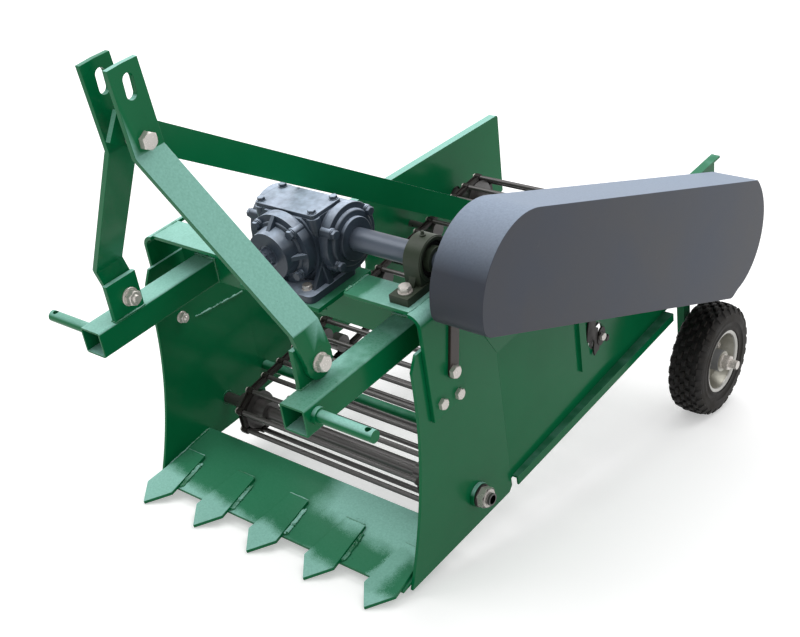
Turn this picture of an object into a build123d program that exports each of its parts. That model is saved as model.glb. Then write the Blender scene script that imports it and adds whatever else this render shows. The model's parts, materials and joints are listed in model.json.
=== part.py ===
from build123d import *
import os
from math import atan, atan2, cos, hypot, pi, radians, sin, sqrt, tan

# A small three-point-hitch potato harvester: a toothed blade lifts the ridge, and a web of rods on two
# chains carries the potatoes back while the soil falls through.
# Millimetres. X runs to the machine's chain-guard side, Y to its rear and Z up. Every piece is drawn in
# the machine's own level: `along` is measured back from the teeth's points and `up` from their height.
# The last step tips the whole machine nose down, as it stands on its teeth and its two wheels.

# ---- stance ------------------------------------------------------------------------------------
PARK_PITCH = 12.5            # nose-down angle of the parked machine, degrees
FRAME_SHIFT_Y = -494.607     # brings the middle of its length to Y = 0
FIT = 0.05                   # radial gap of a turning fit
GAP = 0.5                    # end play beside a hub
PAST = 1.0                   # how far a cutting shape runs past what it cuts
ROOM = 900.0                 # larger than any distance that a trimming block has to cover

# ---- side plates -------------------------------------------------------------------------------
HALF_WIDTH = 330.0           # centre plane to the outer face of a cheek plate
CHEEK_T = 6.0
CHEEK_FOOT = (84.5, -5.0)    # along, up of the front lower corner
CHEEK_BELLY = (153.0, 200.0) # the hollow of the front edge
CHEEK_NOSE = (171.0, 408.0)
CHEEK_NOSE_RUN = 16.0
CHEEK_TOP_Z = 436.0
CHEEK_TOP_END = 330.0
CHEEK_REAR = 400.0
CHEEK_CORNER = 10.0
BLADE_HALF = HALF_WIDTH - CHEEK_T
PANEL_T = 5.0
PANEL_BOTTOM_Z = 22.0
PANEL_TOP_FRONT_Z = 311.0
PANEL_TOP_REAR_Z = 290.5
PANEL_REAR_TOP = 1308.0
PANEL_REAR_FOOT = 1298.0
PANEL_REAR_FOOT_Z = 84.0
PANEL_BELLY_END = 1150.0     # where the lower edge starts to rise to the rear
PANEL_TOE = 31.0             # how far the panel's rear end leans in
PANEL_CORNER_R = 7.0
TOP_FLANGE_W = 21.0
TOP_FLANGE_FRONT = 520.0
RAIL_T = 4.0                 # angle rail along the panel's foot
RAIL_FRONT = 405.0
RAIL_REAR = 1040.0
RAIL_FRONT_OUT = 12.0        # its outer edge from the cheek plate's plane
RAIL_REAR_OUT = 2.0
RAIL_LIP = 19.0
RIB_AT = 685.0               # upright bar on the panel's outside
RIB_W = 24.0
RIB_T = 6.0
RIB_FOOT_Z = 96.0
PORT_AT = (742.0, 141.0)     # opening beside the middle web roller
PORT_D = 58.0

# ---- blade -------------------------------------------------------------------------------------
BLADE_RISE = 5.9             # blade's slope in the machine's own level, degrees
BLADE_T = 7.0
BLADE_FRONT = 66.0
BLADE_REAR = 232.0
TOOTH_T = 8.0
TOOTH_COUNT = 5
TOOTH_HALF_W = 36.0
TOOTH_SHOULDER = 46.0
TOOTH_REAR = 156.0
TOOTH_CUT = 12.0             # how much narrower each side is at the back
TOOTH_PITCH = 2 * (BLADE_HALF - TOOTH_HALF_W) / (TOOTH_COUNT - 1)

# ---- headstock ---------------------------------------------------------------------------------
BEAM_FRONT = 206.0
BEAM_REAR = 273.0
BEAM_TOP_Z = 503.4
BEAM_T = 8.0
BEAM_FOOT_Z = 390.3
NOTCH = (-95.0, 170.0)       # the beam's notch for the gearbox, from x to x
BRACKET_FRONT = 200.0
BRACKET_FOOT_Z = 290.0
BRACKET_DEPTH = 92.0
BRACKET_T = 8.0
BRACKET_BEND_R = 26.0
ARM_SIDE = 53.0
ARM_INSET = 83.0             # cheek plate's outer face to the arm's middle
ARM_X = HALF_WIDTH - ARM_INSET
ARM_WALL = 4.0
ARM_CORNER_R = 5.0
ARM_FRONT = -27.5
ARM_Z = 416.8
PIN_D = 22.0                 # lower hitch pins, category 1
PIN_ALONG = -1.0
PIN_Z = 420.0
PIN_LENGTH = 119.5
PIN_START_X = ARM_X + ARM_SIDE / 2
PIN_TIP_X = PIN_START_X + PIN_LENGTH
PIN_COLLAR_D = 30.0
PIN_COLLAR_T = 8.0
LINCH_D = 11.0
LINCH_INSET = 12.0
LUG_T = 10.0
LUG_FRONT = 14.0
LUG_LENGTH = 70.0
LUG_HEIGHT = 74.0
BAR_T = 10.0
BAR_W = 60.0
BAR_TOP_X = 31.0
BAR_FOOT_INSET = 11.0        # arm's middle to the mast bar's middle
BAR_FOOT_X = ARM_X - BAR_FOOT_INSET
MAST_SIDE = [                # along, up down the middle of a mast bar
    (-18.0, 984.0),
    (-8.0, 838.0),
    (42.0, 549.0),
    (60.0, 476.0),
]
MAST_BOLT = (-10.0, 858.0)
TOP_SLOT = (-14.0, 946.0)
TOP_SLOT_W = 20.0
TOP_SLOT_L = 42.0
MAST_PIVOT = (58.0, 475.0)
MAST_BOLT_D = 18.0
MAST_HEAD_ACROSS = 27.0
MAST_HEAD_H = 11.0
MAST_NUT_H = 14.0
MAST_TAIL = 3.0              # thread that shows beyond a nut
STAY_T = 10.0
STAY_W = 50.0
STAY_AT = (-10.0, 868.0)     # a point down the middle of the stay
STAY_FALL = 33.9             # fall of the stay to the rear, degrees
STAY_AHEAD = 35.0            # its square end in front of that point
CROSS_TUBE_AT = (930.0, 236.0)
CROSS_TUBE_SIDE = 30.0
CROSS_TUBE_WALL = 3.0
STAY_SPACER_D = 32.0

# ---- gearbox and drive -------------------------------------------------------------------------
SHAFT_ALONG = 300.0          # cross shaft out of the gearbox
SHAFT_Z = 551.0
GEARBOX_X = 28.0
GEARBOX_HALF_X = 70.0
GEARBOX_FRONT = 238.0
GEARBOX_REAR = 315.0
GEARBOX_TOP_Z = 617.5
GEARBOX_SEAT_Z = 470.0       # top of the plate that it stands on, down in the beam's notch
COVER_T = 8.0
CASTING_R = 14.0
COVER_R = 8.0
FOOT_R = 12.0
MOUNT_T = 10.0
MOUNT_HALF_X = 96.0
MOUNT_FRONT = 186.0
MOUNT_REAR = 330.0
FOOT_HALF_X = 79.0
FOOT_FRONT = 190.0
FOOT_T = 14.0
PAD_T = 4.0                  # round seats of the caps on the casting
INPUT_PAD_R = 72.0
INPUT_CAP_R = 66.0
INPUT_CAP_T = 20.0
BOSS_R = 44.0
BOSS_ROOT_R = 47.0
BOSS_FRONT = 184.0
RIB_ANGLES = (0.0, 90.0, 180.0, 270.0)
CAP_RIB_T = 8.0
CAP_RIB_SETBACK = 9.0        # boss's front face to the ribs' points
PTO_D = 34.9                 # 1 3/8 inch drive shaft end
PTO_SEAT_D = 42.0            # the same shaft inside the casting
PTO_FRONT = 160.0
NECK_R = 62.0                # round necks of the casting around the cross shaft
OUTPUT_CAP_R = 63.5
OUTPUT_CAP_T = 18.0
TUBE_D = 42.0
SEAL_R = 39.5
SEAL_T = 13.5
SHAFT_D = 30.0
BEARING_INSET = 47.0         # cheek plate's outer face to the pillow block's middle
BEARING_X = HALF_WIDTH - BEARING_INSET
BEARING_HALF_L = 83.0
BEARING_HALF_W = 20.0
BEARING_FOOT_T = 15.0
BEARING_R = 41.0
BEARING_RING_HALF_W = 17.0
BEARING_RECESS_R = 32.0
BEARING_RECESS = 6.0
BEARING_INSERT_R = 23.0
BEARING_INSERT_HALF = 24.0
BEARING_SEAT_MARGIN = 5.0    # beam's top shows this much around the pillow block's rear half

# ---- chain guard -------------------------------------------------------------------------------
GUARD_STAND_OFF = 20.0       # cheek plate's outer face to the guard's back
GUARD_DEPTH = 105.0
GUARD_INNER_X = HALF_WIDTH + GUARD_STAND_OFF
GUARD_OUTER_X = GUARD_INNER_X + GUARD_DEPTH
GUARD_T = 2.0
GUARD_BACK_T = 3.0
GUARD_FALL = 22.3            # fall of its top to the rear, degrees
GUARD_TOP_AT = (366.0, 647.0)
GUARD_FRONT = 215.0
GUARD_FOOT = (249.0, 472.0)
GUARD_HEEL = (1074.0, 79.0)
GUARD_TAIL = [(1102.0, 87.0), (1219.0, 170.0), (1196.0, 306.0)]
GUARD_NOSE_R = 132.0
GUARD_CHIN_R = 32.0
GUARD_HEEL_R = 24.0
GUARD_SHAFT_GAP = 8.0        # around a shaft in the guard's back
GUARD_STAND_D = 18.0
BRACKET_STAND = (264.0, 480.0)
PANEL_STANDS = [(600.0, 286.0), (1000.0, 150.0), (1180.0, 210.0)]
GUSSET_REAR = 597.0          # gusset behind the guard, between the cheek plate and the panel's top
GUSSET_SEAM = 0.3            # its gap to the cheek plate's rear edge
STRAP_FOOT = (262.0, 360.0)  # brown strap from the bracket up behind the guard
STRAP_HEAD = (285.0, 470.0)
STRAP_W = 24.0
STRAP_T = 6.0

# ---- rod web -----------------------------------------------------------------------------------
WEB_INSET = 95.0             # cheek plate's outer face to the middle of a web chain
WEB_HALF = HALF_WIDTH - WEB_INSET
CHAIN_T = 14.0
HOOK_H = 16.0                # a link's height at its hook
HOOK_HALF = 8.0              # half the length of a hook along the chain
HOOK_RISE = 3.0              # run from the link's waist up to the hook's full height
LINK_H = 9.0                 # a link's height at its waist
CHAIN_GAP = 0.5              # play of the links on the wheels that carry them
IDLER = (295.0, 61.0)        # front idler axle
IDLER_R = 50.0               # rods' centres around the idlers
DRIVER = (1113.0, 158.0)     # rear drive shaft
DRIVER_R = 57.0
ROD_D = 10.5
ROD_COUNT = 40
ROD_TAIL = 5.0               # rod beyond the outer side of its chain
IDLER_AXLE_D = 24.0
IDLER_TUBE_D = 30.0
IDLER_HUB_R = 26.0
IDLER_HUB_HALF = 38.0
IDLER_OVERHANG = 34.0
IDLER_NUT_ACROSS = 36.0
IDLER_NUT_H = 18.0
BOSS_WALL = 4.0
BOSS_FLANGE = 12.0
BOSS_OUT = 8.0
DRIVER_TUBE_D = 50.0
DRIVER_TUBE_OVER = 20.0
DRIVER_LEFT_OVER = 30.0
DRIVER_IN_GUARD = 60.0
DRIVER_BEARING_R = 46.0
DRIVER_BEARING_T = 16.0
BORE_GAP = 6.0               # around a shaft where it goes through a plate
WEB_ROLLERS = [              # along, and 1 above or -1 below the middle of the web
    (520.0, 1),
    (742.0, 1),
    (940.0, 1),
    (560.0, -1),
    (860.0, -1),
]
ROLLER_R = 20.0
ROLLER_HALF_W = 12.0
ROLLER_PIN_R = 8.0
HANGER_W = 14.0
HANGER_T = 6.0
HANGER_REACH = 48.0          # above and below the roller's pin
TIE_AT = (416.0, 71.0)
TIE_D = 21.0

# ---- wheels ------------------------------------------------------------------------------------
WHEEL_OUT = 55.0             # cheek plate's outer face to the wheel's middle plane
WHEEL_X = HALF_WIDTH + WHEEL_OUT
TYRE_R = 130.0
WHEEL_ALONG = 1098.0
WHEEL_AT = (                 # the axle, at the height that stands the tyres on the ground
    WHEEL_ALONG,
    (TYRE_R - WHEEL_ALONG * sin(radians(PARK_PITCH))) / cos(radians(PARK_PITCH)),
)
TYRE_SIDES = 48
TYRE_HALF_W = 41.0
TYRE_CROWN = [               # half of the width, and how far its surface lies below the tread
    (TYRE_HALF_W - 20.0, 0.0),
    (TYRE_HALF_W - 6.0, 10.0),
    (TYRE_HALF_W, 30.0),
]
BEAD_STEP = 0.6              # tyre's bead above the rim's seat
RIM_R = 71.0
RIM_HALF_W = 31.0
RIM_LIP = 6.0
RIM_LIP_T = 2.5
RIM_DISC = 14.0              # rim's well to the disc's edge
RIM_DISC_T = 3.0
HUB_R = 24.0
HUB_HALF_W = 36.0
AXLE_D = 20.0
AXLE_SHOULDER = 6.0
AXLE_TAIL = 18.0
AXLE_WASHER_R = 17.0
AXLE_WASHER_T = 3.0
AXLE_NUT_ACROSS = 30.0
AXLE_NUT_H = 14.0
LEG_W = 28.0
LEG_T = 18.0
LEG_TYRE_GAP = 10.0
LEG_PAD_FOOT_Z = 34.0        # pad between the panel and the leg
LEG_BEARING_GAP = 6.0        # leg's top to the drive shaft's bearing
LEG_FOOT = 26.0              # leg below the axle


# ---- helpers -----------------------------------------------------------------------------------
def block(x0, x1, y0, y1, z0, z1):
    middle = Pos((x0 + x1) / 2, (y0 + y1) / 2, (z0 + z1) / 2)
    return middle * Box(abs(x1 - x0), abs(y1 - y0), abs(z1 - z0))


def bar_x(x0, x1, along, up, radius):
    return Pos((x0 + x1) / 2, along, up) * Rot(0, 90, 0) * Cylinder(radius, abs(x1 - x0))


def bar_y(y0, y1, x, up, radius):
    return Pos(x, (y0 + y1) / 2, up) * Rot(90, 0, 0) * Cylinder(radius, abs(y1 - y0))


def slab(face, x0, x1):
    """A flat outline drawn as (along, up) made solid from x0 to x1."""
    low = min(x0, x1)
    return extrude(Plane.YZ.offset(low) * face, amount=abs(x1 - x0))


def outline(points):
    return make_face(Polyline(*points, close=True))


def strip(points, width):
    """A band of one width along a bent middle line, with mitred bends."""
    left, right = [], []
    for i, (a, b) in enumerate(points):
        before = points[max(i - 1, 0)]
        after = points[min(i + 1, len(points) - 1)]
        first = atan2(b - before[1], a - before[0]) if i else None
        last = atan2(after[1] - b, after[0] - a) if i < len(points) - 1 else first
        first = last if first is None else first
        middle = (first + last) / 2
        reach = width / 2 / cos((last - first) / 2)
        left.append((a - sin(middle) * reach, b + cos(middle) * reach))
        right.append((a + sin(middle) * reach, b - cos(middle) * reach))
    return outline(left + right[::-1])


def ring_x(x0, x1, along, up, outer, inner):
    hole = bar_x(min(x0, x1) - PAST, max(x0, x1) + PAST, along, up, inner)
    return bar_x(x0, x1, along, up, outer) - hole


def hexagon_x(x0, x1, along, up, across):
    prism = extrude(RegularPolygon(across / 2, 6, major_radius=False), amount=abs(x1 - x0))
    return Pos(min(x0, x1), along, up) * Rot(0, 90, 0) * prism


def mirrored(shape):
    return mirror(shape, about=Plane.YZ)


def both_sides(shape):
    return Compound(children=[shape, mirrored(shape)])


pieces = {}


def keep(name, shape):
    pieces[name] = shape


def keep_pair(name, shape):
    """The drawn shape is the guard side's, at +X, and its mirror is the other side's."""
    keep(name + "_right", shape)
    keep(name + "_left", mirrored(shape))


# ---- side plates and panels --------------------------------------------------------------------
TOE = atan(PANEL_TOE / (PANEL_REAR_TOP - CHEEK_REAR))


def panel_x(along):
    """Outer face of the guard side's panel, which leans in towards the rear."""
    return HALF_WIDTH - (along - CHEEK_REAR) * tan(TOE)


def toed_in(shape):
    """Turns what is drawn against a straight panel into the leaning panel's place."""
    turn = Rot(0, 0, TOE * 180 / pi)
    return Pos(HALF_WIDTH, CHEEK_REAR, 0) * turn * Pos(-HALF_WIDTH, -CHEEK_REAR, 0) * shape


def inside_panels(shape):
    """Cuts a crosswise piece off at both panels' inner faces."""
    face = HALF_WIDTH - PANEL_T
    beyond = toed_in(block(face, face + ROOM, CHEEK_REAR - ROOM, CHEEK_REAR + 2 * ROOM, -ROOM, ROOM))
    return shape - beyond - mirrored(beyond)


def outside_panel(shape):
    """Fits a piece of the guard side flush on its panel's outer face."""
    behind = block(-ROOM, HALF_WIDTH, CHEEK_REAR - ROOM, CHEEK_REAR + 2 * ROOM, -ROOM, ROOM)
    return shape - toed_in(behind)


def cheek_plate():
    rear, top = CHEEK_REAR, CHEEK_TOP_Z
    edge = ThreePointArc(CHEEK_FOOT, CHEEK_BELLY, CHEEK_NOSE)
    rest = Polyline(
        CHEEK_NOSE,
        (CHEEK_NOSE[0] + CHEEK_NOSE_RUN, top),
        (CHEEK_TOP_END, top),
        (rear, PANEL_TOP_FRONT_Z),
        (rear, CHEEK_FOOT[1] + CHEEK_CORNER),
        (rear - CHEEK_CORNER, CHEEK_FOOT[1]),
        CHEEK_FOOT,
    )
    inner, outer = HALF_WIDTH - CHEEK_T, HALF_WIDTH
    plate = slab(make_face(edge + rest), inner, outer)
    return plate - bar_x(inner - PAST, outer + PAST, *IDLER, IDLER_AXLE_D / 2 + BOSS_WALL)


def panel_sheet():
    front = CHEEK_REAR
    side = outline([
        (front, PANEL_BOTTOM_Z),
        (front, PANEL_TOP_FRONT_Z),
        (PANEL_REAR_TOP, PANEL_TOP_REAR_Z),
        (PANEL_REAR_FOOT, PANEL_REAR_FOOT_Z),
        (PANEL_BELLY_END, PANEL_BOTTOM_Z),
    ])
    corner = side.vertices().sort_by_distance((PANEL_REAR_TOP, PANEL_TOP_REAR_Z, 0))[0]
    side = fillet(corner, PANEL_CORNER_R)
    inner = HALF_WIDTH - PANEL_T
    sheet = slab(side, inner, HALF_WIDTH)
    end = PANEL_REAR_TOP - PANEL_CORNER_R
    fall = (PANEL_TOP_REAR_Z - PANEL_TOP_FRONT_Z) / (PANEL_REAR_TOP - front)
    end_z = PANEL_TOP_REAR_Z - fall * PANEL_CORNER_R
    start = TOP_FLANGE_FRONT
    start_z = PANEL_TOP_FRONT_Z + fall * (start - front)
    lip = outline([
        (start, start_z - PANEL_T),
        (start, start_z),
        (end, end_z),
        (end, end_z - PANEL_T),
    ])
    sheet += slab(lip, HALF_WIDTH, HALF_WIDTH + TOP_FLANGE_W - PANEL_T)
    rib_top = PANEL_TOP_FRONT_Z + fall * (RIB_AT - front) - PANEL_T
    sheet += block(HALF_WIDTH, HALF_WIDTH + RIB_T, RIB_AT - RIB_W / 2, RIB_AT + RIB_W / 2, RIB_FOOT_Z,
                   rib_top)
    sheet -= bar_x(inner - PAST, HALF_WIDTH + PAST, *PORT_AT, PORT_D / 2)
    return sheet


def panel_rail():
    """Angle rail along the panel's foot: a shelf out from the panel with a lip down its outer edge."""
    z0 = PANEL_BOTTOM_Z
    front_out, rear_out = HALF_WIDTH + RAIL_FRONT_OUT, HALF_WIDTH + RAIL_REAR_OUT
    shelf = outline([
        (panel_x(RAIL_FRONT) - PANEL_T, RAIL_FRONT),
        (front_out, RAIL_FRONT),
        (rear_out, RAIL_REAR),
        (panel_x(RAIL_REAR) - PANEL_T, RAIL_REAR),
    ])
    lip = outline([
        (front_out - RAIL_T, RAIL_FRONT),
        (front_out, RAIL_FRONT),
        (rear_out, RAIL_REAR),
        (rear_out - RAIL_T, RAIL_REAR),
    ])
    rail = Pos(0, 0, z0) * extrude(shelf, amount=RAIL_T)
    return rail + Pos(0, 0, z0 - RAIL_LIP + RAIL_T) * extrude(lip, amount=RAIL_LIP)


def rear_panel():
    panel = toed_in(panel_sheet()) + panel_rail()
    panel -= block(0, ROOM, 0, CHEEK_REAR, -ROOM, ROOM)
    return panel - bar_x(0, ROOM, *DRIVER, SHAFT_D / 2 + BORE_GAP)


# ---- blade and teeth ---------------------------------------------------------------------------
def on_blade(shape):
    """Lays a piece drawn flat on the blade's slope, where Z = 0 is the blade's top face."""
    return Rot(BLADE_RISE, 0, 0) * shape


def blade_plate():
    return on_blade(block(-BLADE_HALF, BLADE_HALF, BLADE_FRONT, BLADE_REAR, -BLADE_T, 0))


def digging_teeth():
    teeth = []
    for k in range(TOOTH_COUNT):
        middle = (k - (TOOTH_COUNT - 1) / 2) * TOOTH_PITCH
        face = outline([
            (middle, 0),
            (middle + TOOTH_HALF_W, TOOTH_SHOULDER),
            (middle + TOOTH_HALF_W - TOOTH_CUT, TOOTH_REAR),
            (middle - TOOTH_HALF_W + TOOTH_CUT, TOOTH_REAR),
            (middle - TOOTH_HALF_W, TOOTH_SHOULDER),
        ])
        teeth.append(on_blade(extrude(face, amount=TOOTH_T)))
    return Compound(children=teeth)


# ---- headstock ---------------------------------------------------------------------------------
BRACKET_OUTER_X = HALF_WIDTH + BRACKET_T
BEAM_HALF = BRACKET_OUTER_X - BRACKET_BEND_R
BEAM_WEB_FRONT = BEAM_REAR - BEAM_T


def cross_beam():
    """Angle beam with a notch for the gearbox and a seat behind it for the pillow block's rear half."""
    under = BEAM_TOP_Z - BEAM_T
    beam = block(-BEAM_HALF, BEAM_HALF, BEAM_FRONT, BEAM_REAR, under, BEAM_TOP_Z)
    beam += block(-BEAM_HALF, BEAM_HALF, BEAM_WEB_FRONT, BEAM_REAR, BEAM_FOOT_Z, under)
    beam += block(BEARING_X - BEARING_HALF_W - BEARING_SEAT_MARGIN, BEAM_HALF, BEAM_REAR,
                  SHAFT_ALONG + BEARING_HALF_L + BEARING_SEAT_MARGIN, under, BEAM_TOP_Z)
    return beam - block(*NOTCH, 0, ROOM, GEARBOX_SEAT_Z - MOUNT_T, ROOM)


def end_bracket():
    """Plate bent down from the beam's end over the outside of the cheek plate."""
    y0, y1 = BRACKET_FRONT, BRACKET_FRONT + BRACKET_DEPTH
    middle = (y0 + y1) / 2
    plate = block(0, BRACKET_OUTER_X, y0, y1, BRACKET_FOOT_Z, BEAM_TOP_Z)
    hollow = block(-PAST, HALF_WIDTH, 0, ROOM, 0, BEAM_TOP_Z - BRACKET_T)
    bend = plate.edges().filter_by(Axis.Y).sort_by_distance((BRACKET_OUTER_X, middle, BEAM_TOP_Z))[0]
    plate = fillet(bend, BRACKET_BEND_R)
    corner = (HALF_WIDTH, ROOM / 2, BEAM_TOP_Z - BRACKET_T)
    bend = hollow.edges().filter_by(Axis.Y).sort_by_distance(corner)[0]
    plate -= fillet(bend, BRACKET_BEND_R - BRACKET_T)
    return plate - block(-PAST, BEAM_HALF, 0, ROOM, 0, ROOM)


def gearbox_plate():
    x0, x1 = GEARBOX_X - MOUNT_HALF_X, GEARBOX_X + MOUNT_HALF_X
    return block(x0, x1, MOUNT_FRONT, MOUNT_REAR, GEARBOX_SEAT_Z - MOUNT_T, GEARBOX_SEAT_Z)


def hitch_arm():
    half = ARM_SIDE / 2
    inner = half - ARM_WALL
    tube = block(ARM_X - half, ARM_X + half, ARM_FRONT, BEAM_WEB_FRONT, ARM_Z - half, ARM_Z + half)
    tube = fillet(tube.edges().filter_by(Axis.Y), ARM_CORNER_R)
    return tube - block(ARM_X - inner, ARM_X + inner, ARM_FRONT - PAST, BEAM_WEB_FRONT + PAST,
                        ARM_Z - inner, ARM_Z + inner)


def hitch_pin():
    pin = bar_x(PIN_START_X, PIN_TIP_X, PIN_ALONG, PIN_Z, PIN_D / 2)
    pin += bar_x(PIN_START_X, PIN_START_X + PIN_COLLAR_T, PIN_ALONG, PIN_Z, PIN_COLLAR_D / 2)
    hole = Pos(PIN_TIP_X - LINCH_INSET, PIN_ALONG, PIN_Z) * Cylinder(LINCH_D / 2, PIN_D + 2 * PAST)
    return pin - hole


def arm_lug():
    outer = BAR_FOOT_X - BAR_T / 2
    foot = ARM_Z + ARM_SIDE / 2
    lug = block(outer - LUG_T, outer, LUG_FRONT, LUG_FRONT + LUG_LENGTH, foot, foot + LUG_HEIGHT)
    return lug - bar_x(outer - LUG_T - PAST, outer + PAST, *MAST_PIVOT, MAST_BOLT_D / 2)


def mast_bar():
    across = strip([
        (BAR_TOP_X, MAST_SIDE[0][1]),
        (BAR_TOP_X, MAST_SIDE[1][1]),
        (BAR_FOOT_X, MAST_SIDE[2][1]),
        (BAR_FOOT_X, ARM_Z),
    ], BAR_T)
    width = extrude(Plane.YZ * strip(MAST_SIDE, BAR_W), amount=ROOM)
    thick = extrude(Plane.XZ.offset(-ROOM) * across, amount=2 * ROOM)
    bar = width & thick
    bar += bar_x(BAR_FOOT_X - BAR_T / 2, BAR_FOOT_X + BAR_T / 2, *MAST_PIVOT, BAR_W / 2)
    bar -= block(0, ROOM, -ROOM, ROOM, 0, ARM_Z + ARM_SIDE / 2 + PAST)
    bar -= bar_x(0, ROOM, *MAST_PIVOT, MAST_BOLT_D / 2)
    bar -= bar_x(0, BAR_TOP_X + BAR_T, *MAST_BOLT, MAST_BOLT_D / 2)
    slot = SlotOverall(TOP_SLOT_L, TOP_SLOT_W, rotation=90)
    return bar - slab(Pos(*TOP_SLOT) * slot, 0, BAR_TOP_X + BAR_T)


def mast_bolts():
    inner = BAR_FOOT_X - BAR_T / 2 - LUG_T
    outer = BAR_FOOT_X + BAR_T / 2
    pivot = bar_x(inner - MAST_NUT_H - MAST_TAIL, outer, *MAST_PIVOT, MAST_BOLT_D / 2)
    pivot += hexagon_x(outer, outer + MAST_HEAD_H, *MAST_PIVOT, MAST_HEAD_ACROSS)
    pivot += hexagon_x(inner - MAST_NUT_H, inner, *MAST_PIVOT, MAST_HEAD_ACROSS)
    grip = BAR_TOP_X + BAR_T / 2
    through = bar_x(-grip - MAST_NUT_H - MAST_TAIL, grip, *MAST_BOLT, MAST_BOLT_D / 2)
    through += hexagon_x(grip, grip + MAST_HEAD_H, *MAST_BOLT, MAST_HEAD_ACROSS)
    through += hexagon_x(-grip - MAST_NUT_H, -grip, *MAST_BOLT, MAST_HEAD_ACROSS)
    spacer = ring_x(STAY_T / 2, BAR_TOP_X - BAR_T / 2, *MAST_BOLT, STAY_SPACER_D / 2, MAST_BOLT_D / 2)
    return Compound(children=[pivot, mirrored(pivot), through, spacer, mirrored(spacer)])


def stay_bar():
    """Flat bar from between the mast bars back to the cross tube, notched to sit on the tube."""
    fall = radians(STAY_FALL)
    y, z = STAY_AT
    front = (y - STAY_AHEAD * cos(fall), z + STAY_AHEAD * sin(fall))
    tube_y, tube_z = CROSS_TUBE_AT
    side = CROSS_TUBE_SIDE / 2
    reach = (tube_y + side - y) / cos(fall) + STAY_W
    far = (y + reach * cos(fall), z - reach * sin(fall))
    half = STAY_T / 2
    bar = slab(strip([front, far], STAY_W), -half, half)
    bar -= bar_x(-STAY_T, STAY_T, *MAST_BOLT, MAST_BOLT_D / 2)
    bar -= block(-STAY_T, STAY_T, tube_y - side, ROOM * 2, 0, tube_z + side)
    return bar - block(-STAY_T, STAY_T, tube_y + side, ROOM * 2, 0, ROOM)


def rear_cross_tube():
    y, z = CROSS_TUBE_AT
    outer = CROSS_TUBE_SIDE / 2
    inner = outer - CROSS_TUBE_WALL
    half = HALF_WIDTH
    tube = block(-half, half, y - outer, y + outer, z - outer, z + outer)
    tube -= block(-half - PAST, half + PAST, y - inner, y + inner, z - inner, z + inner)
    return inside_panels(tube)


def cross_tubes():
    tie = bar_x(-HALF_WIDTH, HALF_WIDTH, *TIE_AT, TIE_D / 2)
    return Compound(children=[rear_cross_tube(), inside_panels(tie)])


# ---- gearbox -----------------------------------------------------------------------------------
FLOOR_Z = GEARBOX_SEAT_Z + FOOT_T


def above_foot(shape):
    """Trims a round cap where the casting's foot is."""
    return shape - block(-ROOM, ROOM, 0, ROOM, 0, FLOOR_Z)


def gearbox_housing():
    x0, x1 = GEARBOX_X - GEARBOX_HALF_X, GEARBOX_X + GEARBOX_HALF_X
    top = GEARBOX_TOP_Z - COVER_T
    body = block(x0, x1, GEARBOX_FRONT, GEARBOX_REAR, GEARBOX_SEAT_Z, top)
    body = fillet(body.edges().filter_by(Axis.Z), CASTING_R)
    base = block(GEARBOX_X - FOOT_HALF_X, GEARBOX_X + FOOT_HALF_X, FOOT_FRONT, GEARBOX_REAR,
                 GEARBOX_SEAT_Z, FLOOR_Z)
    base = fillet(base.edges().filter_by(Axis.Z), FOOT_R)
    rounds = bar_y(GEARBOX_FRONT - PAD_T, GEARBOX_FRONT + CASTING_R, GEARBOX_X, SHAFT_Z, INPUT_PAD_R)
    rounds += bar_x(x0 - PAD_T, x1 + PAD_T, SHAFT_ALONG, SHAFT_Z, NECK_R)
    rounds -= block(-ROOM, ROOM, 0, ROOM, top, ROOM)
    bore = bar_y(GEARBOX_FRONT - PAD_T - PAST, GEARBOX_FRONT + CASTING_R, GEARBOX_X, SHAFT_Z,
                 PTO_SEAT_D / 2)
    return body + base + above_foot(rounds) - bore


def gearbox_cover():
    x0, x1 = GEARBOX_X - GEARBOX_HALF_X, GEARBOX_X + GEARBOX_HALF_X
    lid = block(x0, x1, GEARBOX_FRONT, GEARBOX_REAR, GEARBOX_TOP_Z - COVER_T, GEARBOX_TOP_Z)
    return fillet(lid.edges().filter_by(Axis.Z), COVER_R)


def input_cap():
    """Front bearing cap: a round flange, a tapered boss and four ribs between them."""
    seat = GEARBOX_FRONT - PAD_T
    face = seat - INPUT_CAP_T
    at = Pos(GEARBOX_X, 0, SHAFT_Z)
    cap = at * Pos(0, (seat + face) / 2, 0) * Rot(90, 0, 0) * Cylinder(INPUT_CAP_R, INPUT_CAP_T)
    boss = Pos(0, (face + BOSS_FRONT) / 2, 0) * Rot(90, 0, 0) * Cone(BOSS_ROOT_R, BOSS_R, face - BOSS_FRONT)
    cap += at * boss
    rib = outline([(face, BOSS_R), (BOSS_FRONT + CAP_RIB_SETBACK, BOSS_R), (face, INPUT_CAP_R)])
    for angle in RIB_ANGLES:
        cap += at * Rot(0, angle - 90, 0) * slab(rib, -CAP_RIB_T / 2, CAP_RIB_T / 2)
    return above_foot(cap) - bar_y(0, seat + PAST, GEARBOX_X, SHAFT_Z, PTO_SEAT_D / 2)


def input_shaft():
    stub = bar_y(PTO_FRONT, BOSS_FRONT, GEARBOX_X, SHAFT_Z, PTO_D / 2)
    return stub + bar_y(BOSS_FRONT, GEARBOX_FRONT + CASTING_R, GEARBOX_X, SHAFT_Z, PTO_SEAT_D / 2)


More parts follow.
